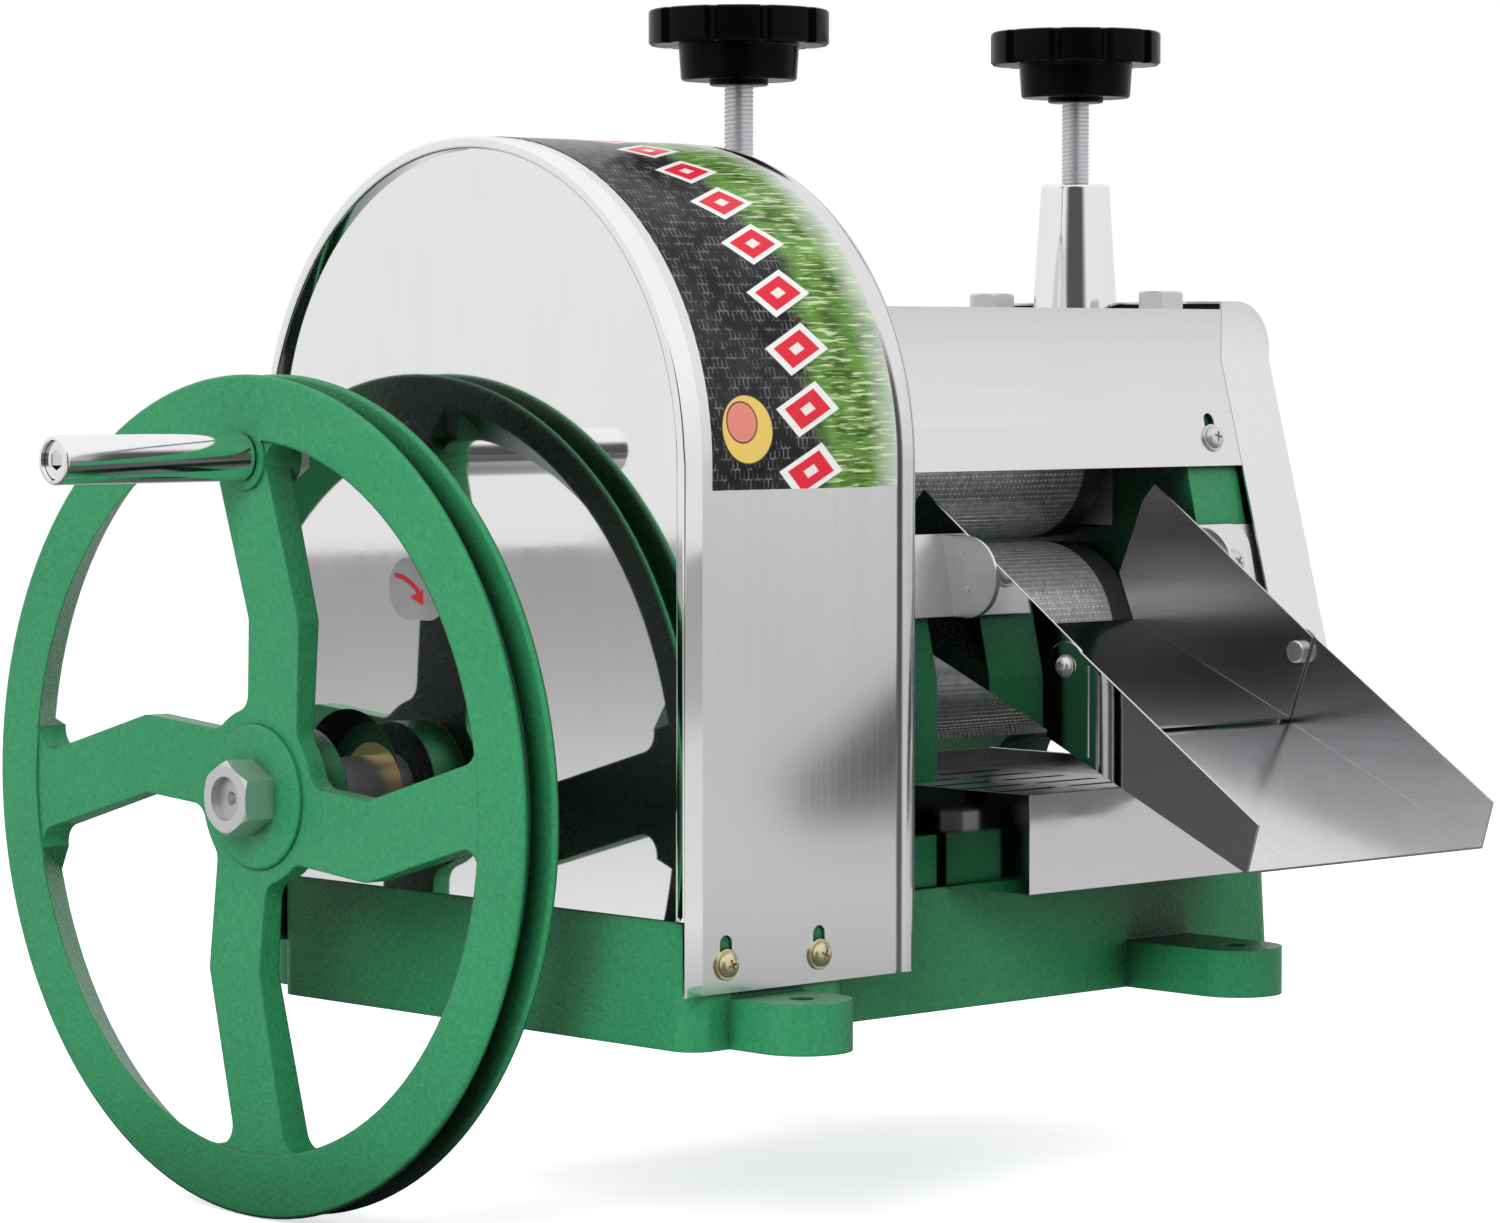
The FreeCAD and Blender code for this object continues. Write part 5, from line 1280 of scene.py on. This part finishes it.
@dataclass
class Roller:
    """Fluted roller: sharp lengthwise ribs, each nicked at an even pitch."""

    node: str
    radius: float
    journal_r: float
    flute_pitch: float = 2.9
    flute_deep: float = 1.05
    nick_pitch: float = 3.0
    nick_deep: float = 0.3
    barrel_long: float = 154.0
    barrel_middle: float = 92.0
    end_long: float = 16.0
    end_step: float = 0.3
    end_chamfer: float = 1.0
    tip_chamfer: float = 0.8
    # True gives the roller the lit copy of the roller colours, with a stronger painted highlight.
    brightly_lit: bool = False

    def build(self) -> None:
        """Models the barrel, its smooth ends and journals."""
        low, high = span(self.node)
        centre = Vector((0, (low.y + high.y) / 2, (low.z + high.z) / 2))
        start = self.barrel_middle - self.barrel_long / 2
        barrel = self._barrel(centre, start)
        end_r = self.radius - self.end_step
        end_low = start - self.end_long
        end_high = start + self.barrel_long + self.end_long
        cut, tip, slim = self.end_chamfer, self.tip_chamfer, self.journal_r
        rings = [(low.x, slim - tip), (low.x + tip, slim), (end_low, slim), (end_low, end_r - cut),
                 (end_low + cut, end_r), (end_high - cut, end_r), (end_high, end_r - cut), (end_high, slim),
                 (high.x - tip, slim), (high.x, slim - tip)]
        core = turned("core", Axis.X, centre, rings, 96)
        piece = joined(self.node + "_dressed", [barrel, core])
        smooth(piece, 28.0)
        # The lower roller takes the lit copy of the roller colours; the top roller, in the hood's shade, keeps
        # the darker ones.
        brightly_lit = {"groove_shade": BRIGHT_LIT_GROOVE_SHADE, "lit_rib": BRIGHT_LIT_RIB, "metal": BRIGHT_LIT_METAL} if self.brightly_lit else {}
        finish = RollerSteel(self.node + "_steel", centre.y, centre.z, self.radius, self.flute_deep,
                             self.barrel_middle, self.barrel_long / 2, **brightly_lit)
        hand_over(piece, finish, self.node)

    def _barrel(self, centre: Vector, start: float) -> bpy.types.Object:
        """Models the ribbed barrel.

        Args:
            centre: Point on the roller's axis.
            start: X of the barrel's left end.

        Returns:
            The closed barrel.
        """
        ribs = round(2 * math.pi * self.radius / self.flute_pitch)
        nicks = round(self.barrel_long / self.nick_pitch)
        step = self.barrel_long / nicks / 4
        rings = []
        for i in range(nicks):
            first = start + 4 * i * step
            rings += [(first, self.radius - self.nick_deep), (first + step, self.radius),
                      (first + 3 * step, self.radius)]
        rings.append((start + self.barrel_long, self.radius - self.nick_deep))
        barrel = turned("barrel", Axis.X, centre, rings, 4 * ribs)
        side_step = math.pi / (2 * ribs)
        origin = barrel.data.vertices[0].co / MM - centre
        first_turn = math.atan2(origin.z, origin.y)

        def is_groove(place: Vector) -> bool:
            """True for a point on two lengthwise lines out of four."""
            turn = math.atan2(place.z - centre.z, place.y - centre.y) - first_turn
            return round(turn / side_step) % 4 >= 2

        with editing(barrel):
            pick(barrel, is_groove)
            share = (self.radius - self.flute_deep) / self.radius
            bpy.ops.transform.resize(value=(1.0, share, share), center_override=centre * MM)
        return barrel


@dataclass
class PressureKnob:
    """Star knob on its threaded screw, over a conical post."""

    side: str
    lobes: int = 10
    lobe_sides: int = 12
    turn: float = 28.6
    thread_pitch: float = 2.0
    thread_deep: float = 1.15
    thread_sides: int = 28
    thread_crest: float = 0.12
    thread_start: float = 40.0
    post_high: float = 62.0
    post_taper: float = 3.9
    spigot_r: float = 12.0
    lobe_foot_r: float = 34.0
    crown_high: float = 16.5
    grooves: tuple[tuple[float, float], ...] = ((0.24, 0.972), (0.15, 0.955))

    def build(self) -> None:
        """Builds the post, the screw and the knob."""
        self._post()
        self._screw()
        self._knob()

    def _post(self) -> None:
        """Turns the polished post with its rounded lip and open bore."""
        node = f"{self.side}_screw_post"
        low, high = span(node)
        centre = upright_axis(node)
        foot_r = (high.x - low.x) / 2
        top_r = foot_r - self.post_taper
        foot = high.z - self.post_high
        rings = [(low.z, self.spigot_r), (foot, self.spigot_r), (foot, foot_r - 0.5), (foot + 0.8, foot_r),
                 (high.z - 1.6, top_r + 0.1), (high.z - 0.5, top_r - 0.4), (high.z, top_r - 1.5),
                 (high.z, 9.4), (high.z - 1.2, 8.2), (high.z - 14.0, 8.0)]
        post = turned(node + "_dressed", Axis.Z, centre, rings, 96)
        smooth(post, 30.0)
        hand_over(post, POLISHED_BAR, node)

    def _screw(self) -> None:
        """Winds a thread round the screw's core from inside the post up to the knob."""
        node = f"{self.side}_pressure_screw"
        low, high = span(node)
        centre = upright_axis(node)
        radius = (high.x - low.x) / 2
        root = radius - self.thread_deep
        rings = [(low.z, root), (low.z + 1, root + 0.6), (high.z, root + 0.6)]
        core = turned("screw_core", Axis.Z, centre, rings, 32)
        start = low.z + self.thread_start
        turns = int((high.z - start - self.thread_pitch) / self.thread_pitch)
        crest = radius - self.thread_crest
        profile = ((root, 0.0), (crest, 0.42), (crest, 0.58), (root, 0.98), (root, 0.0))
        thread = polyline("thread", [Vector((r, 0, start + share * self.thread_pitch)) for r, share in profile])
        with editing(thread):
            bpy.ops.mesh.select_all(action="SELECT")
            bpy.ops.mesh.remove_doubles(threshold=1e-6)
        apply_modifier(thread, "SCREW", screw_offset=self.thread_pitch * MM, iterations=turns,
                       steps=self.thread_sides, render_steps=self.thread_sides, axis="Z")
        thread.data.transform(Matrix.Translation(centre * MM))
        with editing(thread):
            bpy.ops.mesh.select_all(action="DESELECT")
            bpy.ops.mesh.select_mode(type="EDGE")
            bpy.ops.mesh.select_non_manifold()
            bpy.ops.mesh.fill_holes(sides=0)
            bpy.ops.mesh.select_all(action="SELECT")
            bpy.ops.mesh.normals_make_consistent(inside=False)
        screw = joined(node + "_dressed", [core, thread])
        smooth(screw, 30.0)
        hand_over(screw, ZINC, node)

    def _knob(self) -> None:
        """Turns the knob and presses its grooves in."""
        node = f"{self.side}_star_knob"
        low, high = span(node)
        centre = upright_axis(node)
        crown_r = (high.x - low.x) / 2
        crown = high.z - self.crown_high
        foot = low.z + 2.5
        rings = [(low.z, 12.6), (low.z + 0.5, 13.7), (foot, 13.7), (foot, 26.0), (foot + 1.0, 27.0),
                 (crown - 0.6, 28.0), (crown, 28.6), (crown, crown_r - 1.2), (crown + 1.2, crown_r),
                 (high.z - 1.6, crown_r), (high.z - 0.5, crown_r - 0.6), (high.z, crown_r - 2.0),
                 (high.z, 17.0), (high.z - 0.8, 16.0)]
        knob = turned(node + "_dressed", Axis.Z, centre, rings, self.lobes * self.lobe_sides)
        lobe = 2 * math.pi / self.lobes
        for width, share in self.grooves:

            def in_groove(place: Vector, width: float = width) -> bool:
                """True for a rim point near the middle of a groove."""
                turn = math.atan2(place.y - centre.y, place.x - centre.x) - math.radians(self.turn)
                off = abs((turn / lobe + 0.5) % 1.0 - 0.5)
                from_axis = math.hypot(place.x - centre.x, place.y - centre.y)
                return off < width / 2 and from_axis > self.lobe_foot_r

            with editing(knob):
                pick(knob, in_groove)
                bpy.ops.transform.resize(value=(share, share, 1.0), center_override=centre * MM)
        smooth(knob, 30.0)
        hand_over(knob, GRIP, node)


@dataclass
class InnerWorks:
    """Gears, bushes, blocks and keys that the sheets hide."""

    def build(self) -> None:
        """Coats what stays as the construction made it."""
        coat(GEAR_IRON, "large_gear")
        coat(MACHINED, "drive_pinion", "top_roller_gear", "lower_roller_gear", "left_bearing_block",
             "right_bearing_block", "top_roller_keys", "lower_gear_key")
        coat(BRONZE, "pedestal_bush", "frame_shaft_bush", "lower_roller_bushes", "top_roller_bushes")


# ---- studio -------------------------------------------------------------------------------------


@dataclass
class Studio:
    """Floor, lamps, surroundings and camera."""

    camera_place: Point = (-1.62225, -1.69187, 0.29714)
    camera_turn: Point = (87.070, 0.0, -43.515)
    lens: float = 119.735
    sensor: float = 36.0
    floor_z: float = -91.5
    floor_size: float = 12.0
    surround: float = 0.34
    near: float = 0.45
    far: float = 1.3
    floor_glow: float = 0.70
    opening_way: Point = (-0.73, -0.68, 0.0)
    opening_span: tuple[float, float] = (0.80, 0.94)

    def build(self) -> None:
        """Sets up the studio."""
        self._floor()
        self._lamp("key", (-2.5, -1.3, 1.7), (0.0, 0.0, 0.2), 1.5, 64.0)
        self._lamp("fill", (2.0, -2.2, 1.3), (0.05, 0.0, 0.2), 1.6, 8.0)
        self._lamp("top", (0.1, 0.3, 2.6), (0.05, 0.0, 0.2), 2.0, 20.0)
        self._world()
        self._camera()

    def _floor(self) -> None:
        """Lays a plain pale floor that polished metal sees dark close by and towards the tent's opening."""
        bpy.ops.object.select_all(action="DESELECT")
        bpy.ops.mesh.primitive_plane_add(size=self.floor_size, location=(0, 0, self.floor_z * MM))
        floor = adopt("studio_floor")
        graph = Graph("pale_floor")
        path = graph.add("ShaderNodeLightPath")
        reach_out = graph.add("ShaderNodeVectorMath", operation="LENGTH")
        graph.join(graph.place, reach_out.inputs[0])
        near_shade = graph.spread(reach_out.outputs["Value"], 0.85, 0.0, self.near, self.far)
        heading = graph.add("ShaderNodeVectorMath", operation="NORMALIZE")
        graph.join(graph.place, heading.inputs[0])
        facing = graph.add("ShaderNodeVectorMath", operation="DOT_PRODUCT")
        graph.join(heading.outputs["Vector"], facing.inputs[0])
        facing.inputs[1].default_value = self.opening_way
        far_shade = graph.spread(facing.outputs["Value"], 0.0, 0.92, *self.opening_span)
        shade = graph.maths("MAXIMUM", near_shade, far_shade)
        dim = graph.maths("MULTIPLY", shade, path.outputs["Is Glossy Ray"])
        cloud = graph.noise(0.8, 1.0)
        pale = graph.ramp(cloud, (0.2, (0.93, 0.93, 0.93)), (0.8, (0.95, 0.95, 0.95)))
        graph.feed("Base Color", graph.blended(dim, pale, (0.02, 0.02, 0.02)))
        graph.fixed(Roughness=0.9, Specular_IOR_Level=0.1, Emission_Color=(1.0, 1.0, 1.0, 1.0))
        glow = graph.maths("MULTIPLY", path.outputs["Is Camera Ray"], self.floor_glow)
        graph.feed("Emission Strength", glow)
        floor.data.materials.append(graph.material)

    def _lamp(self, name: str, place: Point, aim: Point, size: float, power: float) -> None:
        """Adds a square soft lamp.

        Args:
            name: Name of the lamp.
            place: Where it stands, in metres.
            aim: Point that it shines at, in metres.
            size: Side of the lamp, in metres.
            power: Power in watts.
        """
        lamp = bpy.data.lights.new(name, "AREA")
        lamp.shape = "SQUARE"
        lamp.size = size
        lamp.energy = power
        obj = bpy.data.objects.new(name, lamp)
        bpy.context.scene.collection.objects.link(obj)
        obj.location = place
        obj.rotation_euler = (Vector(aim) - Vector(place)).to_track_quat("-Z", "Y").to_euler()
        obj.visible_glossy = False

    def _world(self) -> None:
        """Lights evenly, shows polished metal a tent with a dark opening, and stays white behind."""
        world = bpy.data.worlds.new("tent")
        bpy.context.scene.world = world
        world.use_nodes = True
        tree = world.node_tree
        tree.nodes.clear()
        output = tree.nodes.new("ShaderNodeOutputWorld")
        path = tree.nodes.new("ShaderNodeLightPath")
        place = tree.nodes.new("ShaderNodeTexCoord")
        sources = []
        for strength in (1.0, self.surround, 1.0):
            source = tree.nodes.new("ShaderNodeBackground")
            source.inputs["Strength"].default_value = strength
            sources.append(source)
        seen, even, tent = sources
        for source in (seen, even):
            source.inputs["Color"].default_value = (1, 1, 1, 1)
        tree.links.new(self._tent_level(tree, place.outputs["Generated"]), tent.inputs["Strength"])

        def chosen(ray: str, other: Socket, shown: Socket) -> Socket:
            """Shows one shader to a kind of ray and another to the rest."""
            mixed = tree.nodes.new("ShaderNodeMixShader")
            for start, end in ((path.outputs[ray], mixed.inputs["Fac"]), (other, mixed.inputs[1]),
                               (shown, mixed.inputs[2])):
                tree.links.new(start, end)
            return mixed.outputs["Shader"]

        glossy = chosen("Is Glossy Ray", even.outputs["Background"], tent.outputs["Background"])
        direct = chosen("Is Camera Ray", glossy, seen.outputs["Background"])
        tree.links.new(direct, output.inputs["Surface"])

    def _tent_level(self, tree: bpy.types.NodeTree, way: Socket) -> Socket:
        """Brightness of the tent that polished metal shows, by direction.

        Args:
            tree: The world's node tree.
            way: Direction.

        Returns:
            The level.
        """

        def along(direction: Point, low: float, high: float, start: float,
                  end: float) -> Socket:
            """Level that goes from low to high as the direction turns towards a given one."""
            dot = tree.nodes.new("ShaderNodeVectorMath")
            dot.operation = "DOT_PRODUCT"
            dot.inputs[1].default_value = direction
            tree.links.new(way, dot.inputs[0])
            node = tree.nodes.new("ShaderNodeMapRange")
            node.interpolation_type = "SMOOTHSTEP"
            for key, value in (("From Min", start), ("From Max", end), ("To Min", low), ("To Max", high)):
                node.inputs[key].default_value = value
            tree.links.new(dot.outputs["Value"], node.inputs["Value"])
            return node.outputs["Result"]

        def product(first: Socket, second: Socket) -> Socket:
            """Product of two levels."""
            node = tree.nodes.new("ShaderNodeMath")
            node.operation = "MULTIPLY"
            tree.links.new(first, node.inputs[0])
            tree.links.new(second, node.inputs[1])
            return node.outputs["Value"]

        sides = along((-0.73, 0.68, 0.0), 1.02, 1.06, -1.0, 1.0)
        rise = along((0.0, 0.0, 1.0), 0.95, 1.15, -0.1, 0.5)
        opening = along(self.opening_way, 1.0, 0.10, *self.opening_span)
        return product(product(sides, rise), opening)

    def _camera(self) -> None:
        """Places the camera."""
        camera = bpy.data.cameras.new("camera")
        camera.lens = self.lens
        camera.sensor_width = self.sensor
        camera.sensor_fit = "HORIZONTAL"
        camera.clip_start = 0.05
        obj = bpy.data.objects.new("camera", camera)
        bpy.context.scene.collection.objects.link(obj)
        obj.location = self.camera_place
        obj.rotation_euler = tuple(math.radians(angle) for angle in self.camera_turn)
        bpy.context.scene.camera = obj
        bpy.context.scene.view_settings.view_transform = "Standard"


# ---- assembly -----------------------------------------------------------------------------------


def main() -> None:
    """Builds the sub-assemblies in order."""
    logging.basicConfig(level=logging.INFO, format="%(name)s: %(message)s")
    bpy.ops.object.select_all(action="DESELECT")
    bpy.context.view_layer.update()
    assemblies = (
        Studio(),
        Castings(),
        Handwheel(),
        GearCase(),
        Sheets(),
        SheetFasteners(),
        Roller("top_roller", 43.0, 16.0),
        # The lower roller is painted with the lit copy of the roller colours.
        Roller("lower_roller", 47.0, 14.0, brightly_lit=True),
        PressureKnob("left"),
        PressureKnob("right"),
        InnerWorks(),
    )
    for assembly in assemblies:
        assembly.build()
        LOG.info("%s is built", type(assembly).__name__)


if __name__ == "__main__":
    main()
